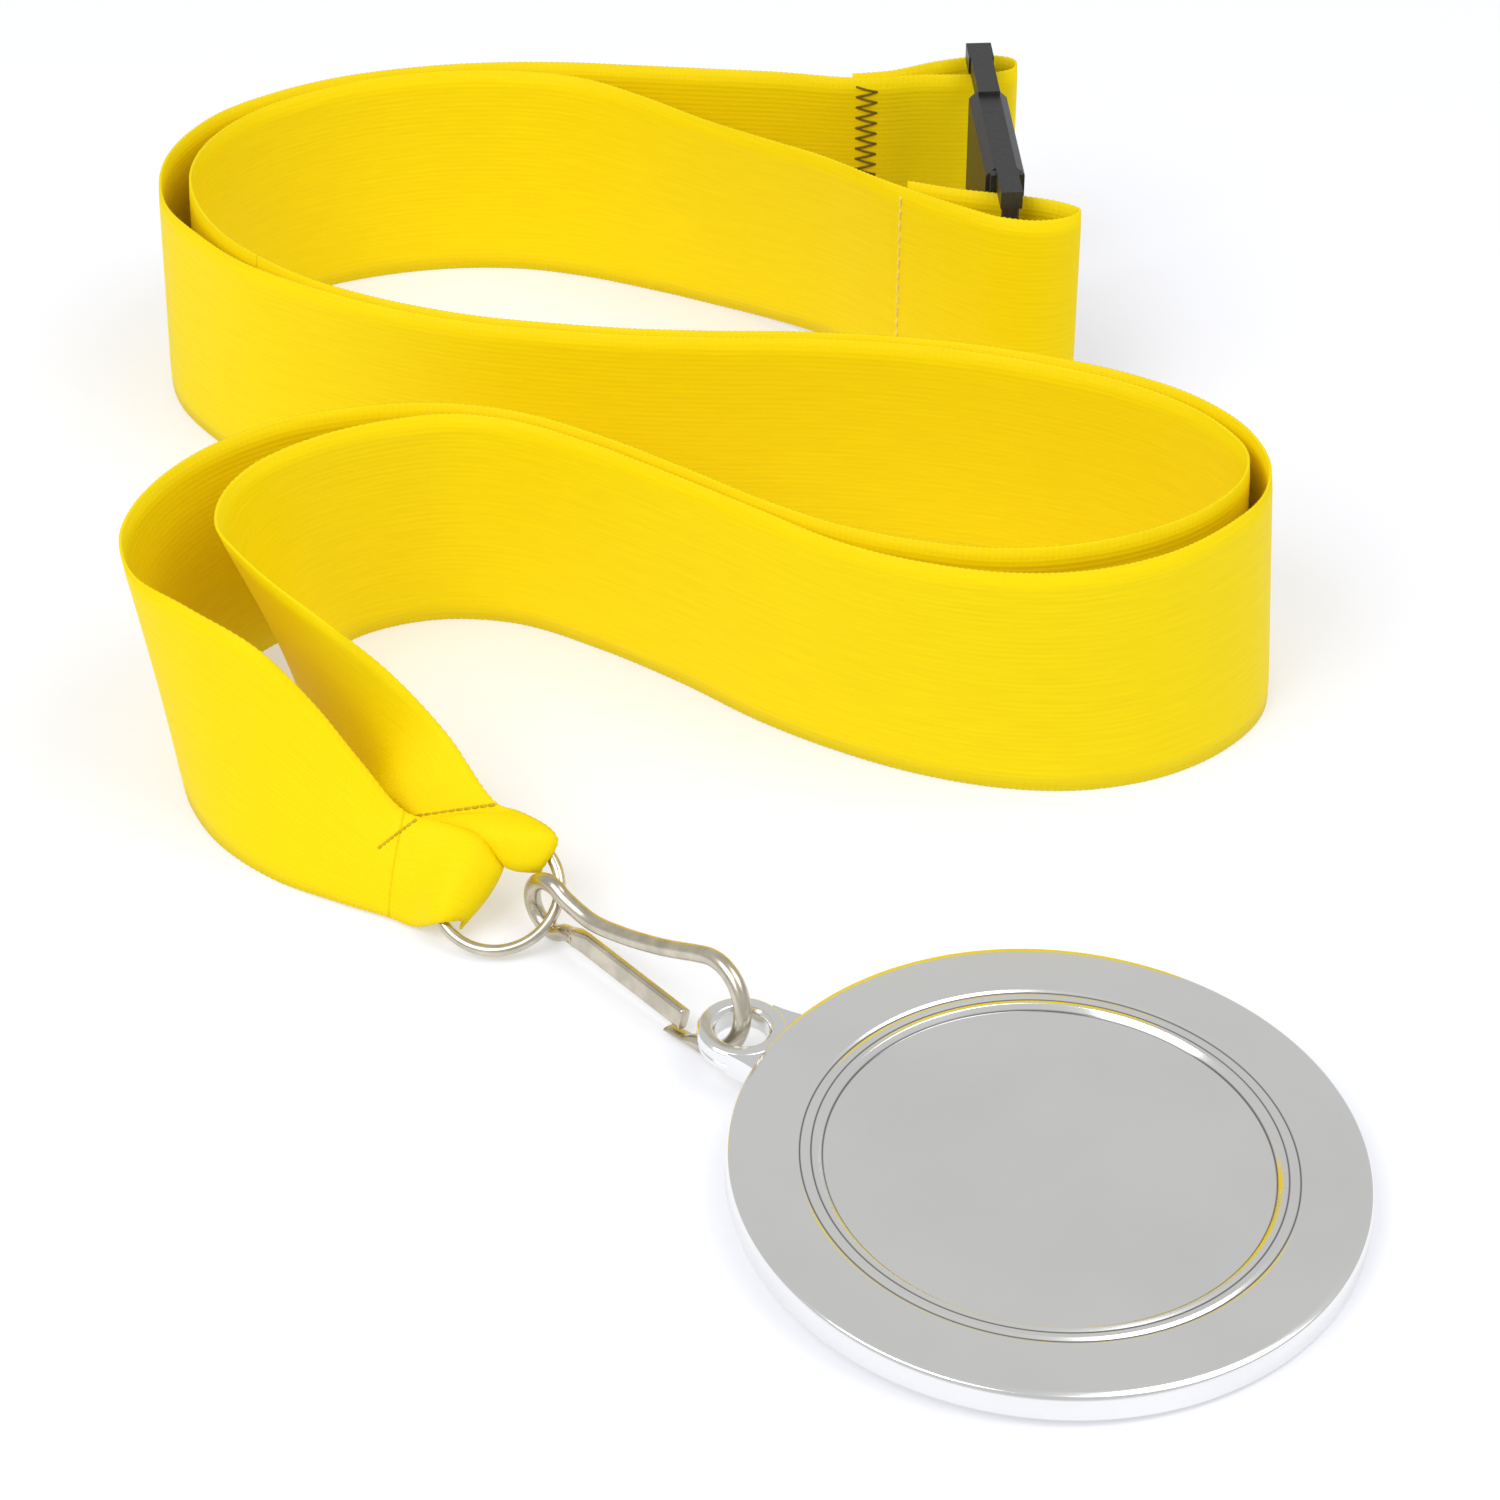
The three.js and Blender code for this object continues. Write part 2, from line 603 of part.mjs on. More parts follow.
const CLASP_REAR_BAR = vec(31.4, 88.6, 0);
const CLASP_HEADING = degrees(-86.7);
const BAR_RADIUS = 0.95;
const ARM_HEIGHT = 2.0;
const BODY_THICKNESS = 4.2;
const BODY_START = 9.6;
const BODY_LENGTH = 17.8;
const TONGUE_LENGTH = 12.6;
const TONGUE_THICKNESS = 1.6;
const TONGUE_HEIGHT = 19;
const MOUTH_CLEARANCE = 0.35;

// Local axes of the clasp: +X from the rear bar to the front bar, +Y through its thickness.
function claspArm(start, end, width, height) {
  const middle = (start + end) / 2;
  const low = box(end - start, width, ARM_HEIGHT, middle, 0, ARM_HEIGHT / 2);
  const top = box(end - start, width, ARM_HEIGHT, middle, 0, height - ARM_HEIGHT / 2);
  return low.add(top);
}

function ribbonBar(x) {
  const bar = new THREE.CylinderGeometry(BAR_RADIUS, BAR_RADIUS, CLASP_HEIGHT - 1, 16)
    .rotateX(Math.PI / 2)
    .translate(x, 0, CLASP_HEIGHT / 2);
  return toSolid(bar);
}

function chamferedPlate(start, length, thickness, height, chamfer) {
  const half = thickness / 2;
  const outline = new THREE.Shape([
    [-half, chamfer], [-half, height - chamfer], [-half + chamfer, height],
    [half - chamfer, height], [half, height - chamfer], [half, chamfer],
    [half - chamfer, 0], [-half + chamfer, 0],
  ].map(([y, z]) => new THREE.Vector2(y, z)));
  const plate = new THREE.ExtrudeGeometry(outline, { depth: length, bevelEnabled: false });
  const axes = new THREE.Matrix4().makeBasis(vec(0, 1, 0), vec(0, 0, 1), vec(1, 0, 0));
  return toSolid(plate.applyMatrix4(axes).translate(start, 0, 0));
}

function claspSocket() {
  const bodyLow = 0.5;
  const bodyHeight = CLASP_HEIGHT - 2 * bodyLow;
  const shell = chamferedPlate(BODY_START, BODY_LENGTH, BODY_THICKNESS, bodyHeight, 0.9)
    .translate([0, 0, bodyLow]);
  const mouthDepth = TONGUE_LENGTH + 1.2;
  const mouth = box(mouthDepth + 1, TONGUE_THICKNESS + 2 * MOUTH_CLEARANCE,
    TONGUE_HEIGHT + 2 * MOUTH_CLEARANCE, BODY_START + BODY_LENGTH - mouthDepth / 2 + 0.5, 0,
    CLASP_HEIGHT / 2);
  const arms = claspArm(-BAR_RADIUS, BODY_START + 1.2, 2.4, CLASP_HEIGHT);
  const knobs = claspArm(-BAR_RADIUS, 2.6, 2.8, CLASP_HEIGHT);
  const whole = shell.add(arms).add(knobs).add(ribbonBar(0)).subtract(mouth);
  return named('clasp_socket', toGeometry(whole), blackPlastic());
}

function claspPlug() {
  const mouthAt = BODY_START + BODY_LENGTH;
  const bar = ribbonBar(CLASP_BAR_SPACING);
  const arms = claspArm(mouthAt + 0.8, CLASP_BAR_SPACING + BAR_RADIUS, 2.3, CLASP_HEIGHT);
  const shoulder = box(1.1, 3.4, CLASP_HEIGHT - 1.2, mouthAt + GAP + 0.55, 0, CLASP_HEIGHT / 2);
  const tongueMiddle = mouthAt + 1 - TONGUE_LENGTH / 2;
  const tongue = box(TONGUE_LENGTH + 2, TONGUE_THICKNESS, TONGUE_HEIGHT, tongueMiddle, 0,
    CLASP_HEIGHT / 2);
  const slot = (z) => box(TONGUE_LENGTH - 1.6, TONGUE_THICKNESS + 1, 1.4,
    tongueMiddle - 2.6, 0, z);
  const whole = tongue.subtract(slot(CLASP_HEIGHT / 2 - 5.4)).subtract(slot(CLASP_HEIGHT / 2 + 5.4))
    .add(shoulder).add(arms).add(bar);
  return named('clasp_plug', toGeometry(whole), blackPlastic());
}

function claspGroup() {
  const group = new THREE.Group();
  group.add(claspSocket(), claspPlug());
  group.rotation.z = CLASP_HEADING;
  group.position.copy(CLASP_REAR_BAR);
  return group;
}

// ---- Assembly -----------------------------------------------------------------------------

const award = new THREE.Group();
award.add(
  medalGroup(),
  ringMesh(),
  hookBody(),
  hookGate(),
  ...ribbonRuns(),
  hem('plug_hem', plugHem),
  hem('socket_hem', socketHem),
  ribbonFold(),
  stitching('fold_stitching', socketRun, 0.8 / (socketRun.length - 1), -1, 0.2, 12),
  stitching('plug_hem_stitching', plugHem, 0.07, 1, 0.25, 24),
  stitching('socket_hem_stitching', socketHem, 0.08, 1, 1.2, 24),
  claspGroup(),
);

export default award;
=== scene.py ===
# Looks for the award medal: a polished cast medal, a nickel snap hook and ring, yellow satin
# ribbon with woven edges and sewn hems, and a black breakaway clasp, laid on a pale floor.
# Shapes are written in millimetres in the CAD part's frame; mesh_object scales them to metres.

import math
from bisect import bisect_left

import bmesh
import bpy
from mathutils import Matrix, Vector


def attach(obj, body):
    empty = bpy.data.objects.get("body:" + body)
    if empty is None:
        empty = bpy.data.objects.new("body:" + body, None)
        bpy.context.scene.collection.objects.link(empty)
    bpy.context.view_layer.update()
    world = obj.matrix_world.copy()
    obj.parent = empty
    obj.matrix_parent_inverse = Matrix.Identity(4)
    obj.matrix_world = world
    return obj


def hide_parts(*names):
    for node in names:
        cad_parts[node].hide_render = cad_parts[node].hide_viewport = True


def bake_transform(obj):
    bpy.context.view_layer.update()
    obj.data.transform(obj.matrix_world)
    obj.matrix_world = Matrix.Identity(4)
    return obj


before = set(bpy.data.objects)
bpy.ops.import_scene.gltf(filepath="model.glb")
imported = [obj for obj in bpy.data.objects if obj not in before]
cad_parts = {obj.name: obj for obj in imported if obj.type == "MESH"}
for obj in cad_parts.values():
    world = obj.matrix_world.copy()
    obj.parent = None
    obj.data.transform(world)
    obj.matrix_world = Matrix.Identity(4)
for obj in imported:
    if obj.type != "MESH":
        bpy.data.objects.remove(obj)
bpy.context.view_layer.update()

MM = 0.001

# ---- Driving dimensions, in millimetres ----------------------------------------------------

MEDAL_RADIUS = 27.5
MEDAL_THICKNESS = 3.0
MEDAL_CENTRE = Vector((31, -67, 0))
MEDAL_TILT = math.radians(2.2)
MEDAL_FOOT = MEDAL_RADIUS - 0.4
LUG_AZIMUTH = math.radians(148.5)
LUG_CENTRE = MEDAL_RADIUS + 3.1
LUG_RADIUS = 4.0
LUG_HOLE_RADIUS = 2.4
RECESS_RADIUS = 0.7 * MEDAL_RADIUS
RECESS_DEPTH = 0.6
BEAD_PITCH = 0.037 * MEDAL_RADIUS
RIBBON_WIDTH = 25.0
RIBBON_THICKNESS = 0.45
WOVEN_EDGE = 1.0
FLOOR_CLEARANCE = 0.1
CLASP_LIFT = 2.1
RING_RADIUS = 5.8
RING_WIRE_RADIUS = 0.55
RING_CENTRE = Vector((-17.5, -31.2, 4.3))
RING_TILT = math.radians(34)
RING_HEADING = math.radians(-11)
RING_IN_EYE = math.radians(-12)
EYE_BEHIND_RING = 0.6
HOOK_WIRE_RADIUS = 0.8
HOOK_NOSE_RADIUS = 4.3
HOOK_EYE_RADIUS = 2.6
HOOK_LEAN = math.radians(-14)
EYE_LEAN = math.radians(-3)
HOOK_LIFT = 0.15
GATE_ROOT = 3.9
KNEE = 5.2
GATE_TIP_BACK = 2.6
GATE_HALF_WIDTH = 1.0
GATE_HALF_THICKNESS = 0.5


def bead(count):
    """The radius at a number of bead pitches outside the recess."""
    return RECESS_RADIUS + count * BEAD_PITCH


# ---- Meshes --------------------------------------------------------------------------------

def mesh_object(name, points, faces, material, uvs=None, smooth=True):
    """A mesh from points in millimetres; uvs holds one (u, v) per point."""
    mesh = bpy.data.meshes.new(name)
    mesh.from_pydata([tuple(MM * c for c in point) for point in points], [], faces)
    if uvs is not None:
        layer = mesh.uv_layers.new(name="UVMap")
        for loop in mesh.loops:
            layer.data[loop.index].uv = uvs[loop.vertex_index]
    mesh.materials.append(material)
    mesh.update()
    if smooth:
        mesh.shade_smooth()
    obj = bpy.data.objects.new(name, mesh)
    bpy.context.scene.collection.objects.link(obj)
    return obj


def face_outwards(obj):
    """Turns every face of a closed mesh outwards."""
    shape = bmesh.new()
    shape.from_mesh(obj.data)
    bmesh.ops.recalc_face_normals(shape, faces=shape.faces)
    shape.to_mesh(obj.data)
    shape.free()


def loft(name, rings, material, uvs=None, closed_path=False):
    """A tube through rings of equally many points: flat at its ends, or joined end to end."""
    sides = len(rings[0])
    count = len(rings)
    points = [point for ring in rings for point in ring]
    faces = []
    for i in range(count if closed_path else count - 1):
        here, there = i * sides, ((i + 1) % count) * sides
        for j in range(sides):
            k = (j + 1) % sides
            faces.append((here + j, here + k, there + k, there + j))
    if not closed_path:
        faces.append(tuple(reversed(range(sides))))
        faces.append(tuple((count - 1) * sides + j for j in range(sides)))
    obj = mesh_object(name, points, faces, material, uvs)
    face_outwards(obj)
    for polygon in obj.data.polygons:
        polygon.use_smooth = polygon.loop_total == 4
    return obj


def lathe(name, profile, material, segments, place):
    """Turns (radius, height) points about +Z, starting and ending on the axis, then places it."""
    points = []
    uvs = []
    rows = []
    for radius, height in profile:
        steps = 1 if radius == 0 else segments
        rows.append(range(len(points), len(points) + steps))
        for j in range(steps):
            angle = 2 * math.pi * j / segments
            spot = Vector((radius * math.cos(angle), radius * math.sin(angle), height))
            points.append(place @ spot)
            uvs.append((radius, angle))
    faces = []
    for low, high in zip(rows, rows[1:]):
        for j in range(segments):
            k = (j + 1) % segments
            corners = [low[j % len(low)], low[k % len(low)],
                       high[k % len(high)], high[j % len(high)]]
            faces.append(tuple(dict.fromkeys(corners)))
    obj = mesh_object(name, points, faces, material, uvs)
    face_outwards(obj)
    return obj


def curve_point(four, t):
    """A point between the middle two of four knots, on the centripetal Catmull-Rom curve."""
    p0, p1, p2, p3 = four
    t1 = (p1 - p0).length ** 0.5
    t2 = t1 + (p2 - p1).length ** 0.5
    t3 = t2 + (p3 - p2).length ** 0.5
    t = t1 + (t2 - t1) * t
    a1 = p0 * ((t1 - t) / t1) + p1 * (t / t1)
    a2 = p1 * ((t2 - t) / (t2 - t1)) + p2 * ((t - t1) / (t2 - t1))
    a3 = p2 * ((t3 - t) / (t3 - t2)) + p3 * ((t - t2) / (t3 - t2))
    b1 = a1 * ((t2 - t) / t2) + a2 * (t / t2)
    b2 = a2 * ((t3 - t) / (t3 - t1)) + a3 * ((t - t1) / (t3 - t1))
    return b1 * ((t2 - t) / (t2 - t1)) + b2 * ((t - t1) / (t2 - t1))


def curve(knots, steps):
    """A smooth curve through knots, as (knot number, point) pairs, steps(a, b) from a to b."""
    padded = [knots[0] * 2 - knots[1], *knots, knots[-1] * 2 - knots[-2]]
    found = []
    for i, (a, b) in enumerate(zip(knots, knots[1:])):
        count = steps(a, b)
        for j in range(count):
            found.append((i + j / count, curve_point(padded[i:i + 4], j / count)))
    found.append((len(knots) - 1.0, knots[-1].copy()))
    return found


# ---- Materials -----------------------------------------------------------------------------

class Nodes:
    """A material's node tree, with a Principled shader already in place."""

    def __init__(self, name):
        self.material = bpy.data.materials.new(name)
        self.material.use_nodes = True
        self.tree = self.material.node_tree
        self.shader = self.tree.nodes["Principled BSDF"]

    def add(self, kind, **settings):
        node = self.tree.nodes.new(kind)
        for key, value in settings.items():
            if key in node.inputs:
                node.inputs[key].default_value = value
            else:
                setattr(node, key, value)
        return node

    def join(self, source, target):
        self.tree.links.new(source, target)

    def set(self, **sockets):
        for key, value in sockets.items():
            self.shader.inputs[key.replace("_", " ")].default_value = value

    def ramp(self, factor, stops):
        """A colour ramp through (position, colour) stops."""
        node = self.add("ShaderNodeValToRGB")
        elements = node.color_ramp.elements
        while len(elements) < len(stops):
            elements.new(0.5)
        for element, (position, colour) in zip(elements, stops):
            element.position = position
            element.color = (*colour, 1)
        self.join(factor, node.inputs["Fac"])
        return node.outputs["Color"]

    def scaled(self, source, scale):
        mapping = self.add("ShaderNodeMapping")
        mapping.inputs["Scale"].default_value = scale
        self.join(source, mapping.inputs["Vector"])
        return mapping.outputs["Vector"]

    def bump(self, height, distance, strength=1.0):
        node = self.add("ShaderNodeBump", Strength=strength, Distance=distance)
        self.join(height, node.inputs["Height"])
        self.join(node.outputs["Normal"], self.shader.inputs["Normal"])


def satin():
    """Yellow satin: fine warp lines along the ribbon, a faint slub, and ribbed woven edges."""
    nodes = Nodes("ribbon_satin")
    uv = nodes.add("ShaderNodeTexCoord").outputs["UV"]
    warp = nodes.add("ShaderNodeTexWave", wave_type="BANDS", bands_direction="Y", Scale=0.55,
                     Distortion=0.6, Detail=1.0)
    nodes.join(nodes.scaled(uv, (0.2, 1.0, 1.0)), warp.inputs["Vector"])
    weft = nodes.add("ShaderNodeTexWave", wave_type="BANDS", bands_direction="X", Scale=0.42,
                     Distortion=0.3)
    nodes.join(uv, weft.inputs["Vector"])
    slub = nodes.add("ShaderNodeTexNoise", Scale=1.3, Detail=3.0)
    nodes.join(nodes.scaled(uv, (0.12, 2.2, 1.0)), slub.inputs["Vector"])
    across = nodes.add("ShaderNodeSeparateXYZ")
    nodes.join(uv, across.inputs["Vector"])
    edge = nodes.add("ShaderNodeMath", operation="ABSOLUTE")
    nodes.join(across.outputs["Y"], edge.inputs[0])
    border = nodes.add("ShaderNodeMapRange")
    border.inputs["From Min"].default_value = RIBBON_WIDTH / 2 - WOVEN_EDGE - 0.1
    border.inputs["From Max"].default_value = RIBBON_WIDTH / 2 - WOVEN_EDGE + 0.1
    nodes.join(edge.outputs[0], border.inputs["Value"])
    height = nodes.add("ShaderNodeMix", data_type="FLOAT")
    nodes.join(border.outputs["Result"], height.inputs["Factor"])
    nodes.join(warp.outputs["Fac"], height.inputs[2])
    nodes.join(weft.outputs["Fac"], height.inputs[3])
    colour = nodes.ramp(slub.outputs["Fac"], [
        (0.3, (0.90, 0.680, 0.002)),
        (0.7, (0.94, 0.725, 0.002)),
    ])
    nodes.join(colour, nodes.shader.inputs["Base Color"])
    nodes.bump(height.outputs[0], 0.00004, 0.4)
    nodes.set(Roughness=0.5, Specular_IOR_Level=0.08, Sheen_Weight=0.06, Sheen_Roughness=0.35,
              Sheen_Tint=(1.0, 0.85, 0.2, 1))
    return nodes.material


def thread(name, colour):
    """Twisted sewing thread."""
    nodes = Nodes(name)
    coordinates = nodes.add("ShaderNodeTexCoord").outputs["Object"]
    twist = nodes.add("ShaderNodeTexNoise", Scale=2500.0, Detail=2.0)
    nodes.join(coordinates, twist.inputs["Vector"])
    darker = tuple(0.8 * c for c in colour)
    tint = nodes.ramp(twist.outputs["Fac"], [(0.35, darker), (0.65, colour)])
    nodes.join(tint, nodes.shader.inputs["Base Color"])
    nodes.set(Roughness=0.7, Specular_IOR_Level=0.25)
    return nodes.material


def paint_groove_shade(nodes, tint, radii):
    """Darkens a colour in a thin line at each radius, which is the UV map's first value: painted
    shade in the medal's grooves.
    """
    half_width = 0.12
    margin = 0.5
    # Multipliers: white leaves the metal's colour as it is, the dark one paints shade into each
    # groove.
    untouched = (1, 1, 1)
    groove_shade = (0.12, 0.12, 0.12)
    low = radii[0] - margin
    span = radii[-1] + margin - low
    uv = nodes.add("ShaderNodeTexCoord").outputs["UV"]
    radius = nodes.add("ShaderNodeSeparateXYZ")
    nodes.join(uv, radius.inputs["Vector"])
    share = nodes.add("ShaderNodeMapRange")
    share.inputs["From Min"].default_value = low
    share.inputs["From Max"].default_value = low + span
    nodes.join(radius.outputs["X"], share.inputs["Value"])
    stops = [(0, untouched)]
    for groove in radii:
        start, middle, end = ((groove + side * half_width - low) / span for side in (-1, 0, 1))
        stops += [(start, untouched), (middle, groove_shade), (end, untouched)]
    mask = nodes.ramp(share.outputs["Result"], stops)
    mix = nodes.add("ShaderNodeMix", data_type="RGBA", blend_type="MULTIPLY")
    mix.inputs[0].default_value = 1.0
    nodes.join(tint, mix.inputs[6])
    nodes.join(mask, mix.inputs[7])
    return mix.outputs[2]


def metal(name, bright, dull, roughness, grain, depth, grooves=()):
    """Plated metal with a faint cloudiness in its colour and gloss, and a thin line of painted
    shade at each groove radius given.
    """
    nodes = Nodes(name)
    coordinates = nodes.add("ShaderNodeTexCoord").outputs["Object"]
    cloud = nodes.add("ShaderNodeTexNoise", Scale=grain, Detail=4.0)
    nodes.join(coordinates, cloud.inputs["Vector"])
    tint = nodes.ramp(cloud.outputs["Fac"], [(0.35, dull), (0.65, bright)])
    # Painted shade: a dark line at each groove radius of the medal.
    if grooves:
        tint = paint_groove_shade(nodes, tint, grooves)
    nodes.join(tint, nodes.shader.inputs["Base Color"])
    gloss = nodes.add("ShaderNodeMapRange")
    gloss.inputs["To Min"].default_value = 0.8 * roughness
    gloss.inputs["To Max"].default_value = 1.2 * roughness
    nodes.join(cloud.outputs["Fac"], gloss.inputs["Value"])
    nodes.join(gloss.outputs["Result"], nodes.shader.inputs["Roughness"])
    nodes.bump(cloud.outputs["Fac"], depth, 0.3)
    nodes.set(Metallic=1.0)
    return nodes.material


def plastic():
    """Moulded black plastic with a fine spark-eroded texture."""
    nodes = Nodes("clasp_plastic")
    coordinates = nodes.add("ShaderNodeTexCoord").outputs["Object"]
    grain = nodes.add("ShaderNodeTexNoise", Scale=3000.0, Detail=2.0)
    nodes.join(coordinates, grain.inputs["Vector"])
    tint = nodes.ramp(grain.outputs["Fac"], [
        (0.3, (0.016, 0.016, 0.017)),
        (0.7, (0.028, 0.028, 0.030)),
    ])
    nodes.join(tint, nodes.shader.inputs["Base Color"])
    nodes.bump(grain.outputs["Fac"], 0.00003, 0.5)
    nodes.set(Roughness=0.42, Specular_IOR_Level=0.5)
    return nodes.material


SATIN = satin()
SEAM_THREAD = thread("seam_thread", (0.66, 0.47, 0.01))
HEM_THREAD = thread("hem_thread", (0.20, 0.13, 0.01))
PALE_THREAD = thread("pale_thread", (0.95, 0.80, 0.25))
# The medal's metal, with painted shade in the grooves at three bead radii.
CAST = metal("polished_cast", (0.88, 0.88, 0.87), (0.84, 0.84, 0.83), 0.16, 60.0, 0.00001,
             [bead(0.04), bead(1.0), bead(1.95)])
NICKEL = metal("nickel_wire", (0.66, 0.61, 0.50), (0.52, 0.48, 0.39), 0.26, 500.0, 0.00002)
PLASTIC = plastic()


# ---- Medal ---------------------------------------------------------------------------------

def medal_place():
    """From the medal's own axes, +X towards its lug, to the frame, tipped about its far foot."""
    return (
        Matrix.Translation(MEDAL_CENTRE)
        @ Matrix.Rotation(LUG_AZIMUTH, 4, "Z")
        @ Matrix.Translation((-MEDAL_FOOT, 0, 0))
        @ Matrix.Rotation(-MEDAL_TILT, 4, "Y")
        @ Matrix.Translation((MEDAL_FOOT, 0, 0))
    )


def rounded(corners, radius=0.12, steps=3):
    """The polyline with each inner corner cut back and rounded."""
    points = [corners[0]]
    for before, corner, after in zip(corners, corners[1:], corners[2:]):
        a, b, c = Vector(before), Vector(corner), Vector(after)
        cut = min(radius, (a - b).length / 2.2, (c - b).length / 2.2)
        start = b + (a - b).normalized() * cut
        end = b + (c - b).normalized() * cut
        for i in range(steps + 1):
            t = i / steps
            points.append(tuple(start * (1 - t) ** 2 + b * 2 * t * (1 - t) + end * t ** 2))
    points.append(corners[-1])
    return points


def medal_disc():
    """The cast disc: rounded rim, two bead lines and the recess."""
    top = MEDAL_THICKNESS
    corners = [
        (0, 0), (MEDAL_FOOT, 0), (MEDAL_RADIUS, 0.4), (MEDAL_RADIUS, top - 0.6),
        (MEDAL_RADIUS - 0.2, top - 0.15), (MEDAL_RADIUS - 0.7, top), (bead(2.3), top),
        (bead(1.95), top - 0.2), (bead(1.5), top), (bead(1.0), top - 0.15),
        (bead(0.5), top), (bead(0), top - RECESS_DEPTH), (0, top - RECESS_DEPTH),
    ]
    return lathe("medal_disc", rounded(corners), CAST, 256, medal_place())


def medal_lug():
    """The eyelet: a flat ring with a bevelled hole and a stepped, two-layer rim."""
    top = MEDAL_THICKNESS - 0.2
    low = 0.3
    outline = rounded([
        (LUG_HOLE_RADIUS + 0.6, low), (LUG_RADIUS - 0.5, low), (LUG_RADIUS - 0.15, low + 0.35),
        (LUG_RADIUS - 0.15, low + 0.8), (LUG_RADIUS - 0.45, low + 1.0),
        (LUG_RADIUS, low + 1.2), (LUG_RADIUS, top - 0.25), (LUG_RADIUS - 0.25, top),
        (LUG_HOLE_RADIUS + 0.35, top), (LUG_HOLE_RADIUS, top - 0.4),
        (LUG_HOLE_RADIUS, low + 0.3), (LUG_HOLE_RADIUS + 0.6, low),
    ], 0.1)[:-1]
    place = medal_place() @ Matrix.Translation((LUG_CENTRE, 0, 0))
    segments = 96
    rings = []
    for j in range(segments):
        angle = 2 * math.pi * j / segments
        rings.append([
            place @ Vector((r * math.cos(angle), r * math.sin(angle), z)) for r, z in outline
        ])
    return loft("medal_lug", rings, CAST, closed_path=True)


def medal_neck():
    """The short neck that joins the eyelet to the disc, on both sides of the hole."""
    low = 0.35
    top = MEDAL_THICKNESS - 0.25
    root = MEDAL_RADIUS - 2.0
    shoulder = LUG_CENTRE - 0.8
    bend_steps = 8
    place = medal_place()
    made = []
    for side, name in ((-1, "medal_neck_near"), (1, "medal_neck_far")):
        start = Vector((root, side * 4.6))
        turn = Vector((MEDAL_RADIUS + 0.4, side * 3.9))
        end = Vector((shoulder, side * (LUG_RADIUS - 0.1)))
        outline = []
        for t in (i / bend_steps for i in range(bend_steps + 1)):
            outline.append(start * (1 - t) ** 2 + turn * 2 * t * (1 - t) + end * t ** 2)
        outline += [
            Vector((shoulder, side * 2.9)),
            Vector((LUG_CENTRE - 2.9, side * 1.6)),
            Vector((root, side * 1.6)),
        ]
        rings = [
            [place @ Vector((point.x, point.y, z)) for point in outline] for z in (low, top)
        ]
        neck = loft(name, rings, CAST)
        for polygon in neck.data.polygons:
            polygon.use_smooth = False
        made.append(neck)
    return made


# ---- Ring and hook -------------------------------------------------------------------------

RING_LEVEL = Vector((math.cos(RING_HEADING), math.sin(RING_HEADING), 0))
RING_UPHILL = Vector((
    -math.sin(RING_HEADING) * math.cos(RING_TILT),
    math.cos(RING_HEADING) * math.cos(RING_TILT),
    math.sin(RING_TILT),
))
RING_NORMAL = RING_LEVEL.cross(RING_UPHILL)


def ring_point(angle, radius=RING_RADIUS):
    """A point in the ring's plane, by angle round it and distance from its centre."""
    along = RING_LEVEL * math.cos(angle) + RING_UPHILL * math.sin(angle)
    return RING_CENTRE + along * radius


def ring():
    """The round wire ring that holds the ribbon's fold."""
    segments = 120
    sides = 20
    rings = []
    for i in range(segments):
        centre = ring_point(2 * math.pi * i / segments)
        outward = (centre - RING_CENTRE).normalized()
        rings.append([
            centre + (outward * math.cos(turn) + RING_NORMAL * math.sin(turn)) * RING_WIRE_RADIUS
            for turn in (2 * math.pi * j / sides for j in range(sides))
        ])
    return loft("ring_wire", rings, NICKEL, closed_path=True)


LUG_HOLE = MEDAL_CENTRE + Vector((
    LUG_CENTRE * math.cos(LUG_AZIMUTH),
    LUG_CENTRE * math.sin(LUG_AZIMUTH),
    0,
))
RING_SPOT = ring_point(RING_IN_EYE)
HOOK_HEADING = math.atan2(LUG_HOLE.y - RING_SPOT.y, LUG_HOLE.x - RING_SPOT.x)
HOOK_LEVEL = Vector((math.cos(HOOK_HEADING), math.sin(HOOK_HEADING), 0))
HOOK_EYE = RING_SPOT - HOOK_LEVEL * EYE_BEHIND_RING
HOOK_REACH = (LUG_HOLE - HOOK_EYE).to_2d().length
NOSE_CENTRE = HOOK_REACH - HOOK_NOSE_RADIUS + 0.2
NOSE_HEIGHT = HOOK_NOSE_RADIUS * math.cos(HOOK_LEAN) + HOOK_WIRE_RADIUS + HOOK_LIFT
HOOK_TOE = math.asin((NOSE_HEIGHT - HOOK_EYE.z) / NOSE_CENTRE)
HOOK_ALONG = Vector((
    math.cos(HOOK_HEADING) * math.cos(HOOK_TOE),
    math.sin(HOOK_HEADING) * math.cos(HOOK_TOE),
    math.sin(HOOK_TOE),
))


def leaned(lean):
    """The level direction across the hook, turned about the hook's length."""
    level = Vector((-math.sin(HOOK_HEADING), math.cos(HOOK_HEADING), 0))
    return Matrix.Rotation(lean, 3, HOOK_ALONG) @ level


HOOK_NORMAL = leaned(HOOK_LEAN)
HOOK_UPWARD = HOOK_ALONG.cross(HOOK_NORMAL)
EYE_UPWARD = HOOK_ALONG.cross(leaned(EYE_LEAN))


def hook_stop(along, upward, across=HOOK_WIRE_RADIUS, through=HOOK_WIRE_RADIUS, axis=HOOK_UPWARD):
    """A place on the hook, with its half width in the hook's plane and through it."""
    return (HOOK_EYE + HOOK_ALONG * along + axis * upward, Vector((across, through)))


def arc(centre, radius, start, end, steps, axis=HOOK_UPWARD):
    """Places on the hook round a centre on its length, from one angle in degrees to another."""
    angles = [math.radians(start + (end - start) * i / steps) for i in range(steps + 1)]
    return [hook_stop(centre + radius * math.cos(a), radius * math.sin(a), axis=axis)
            for a in angles]


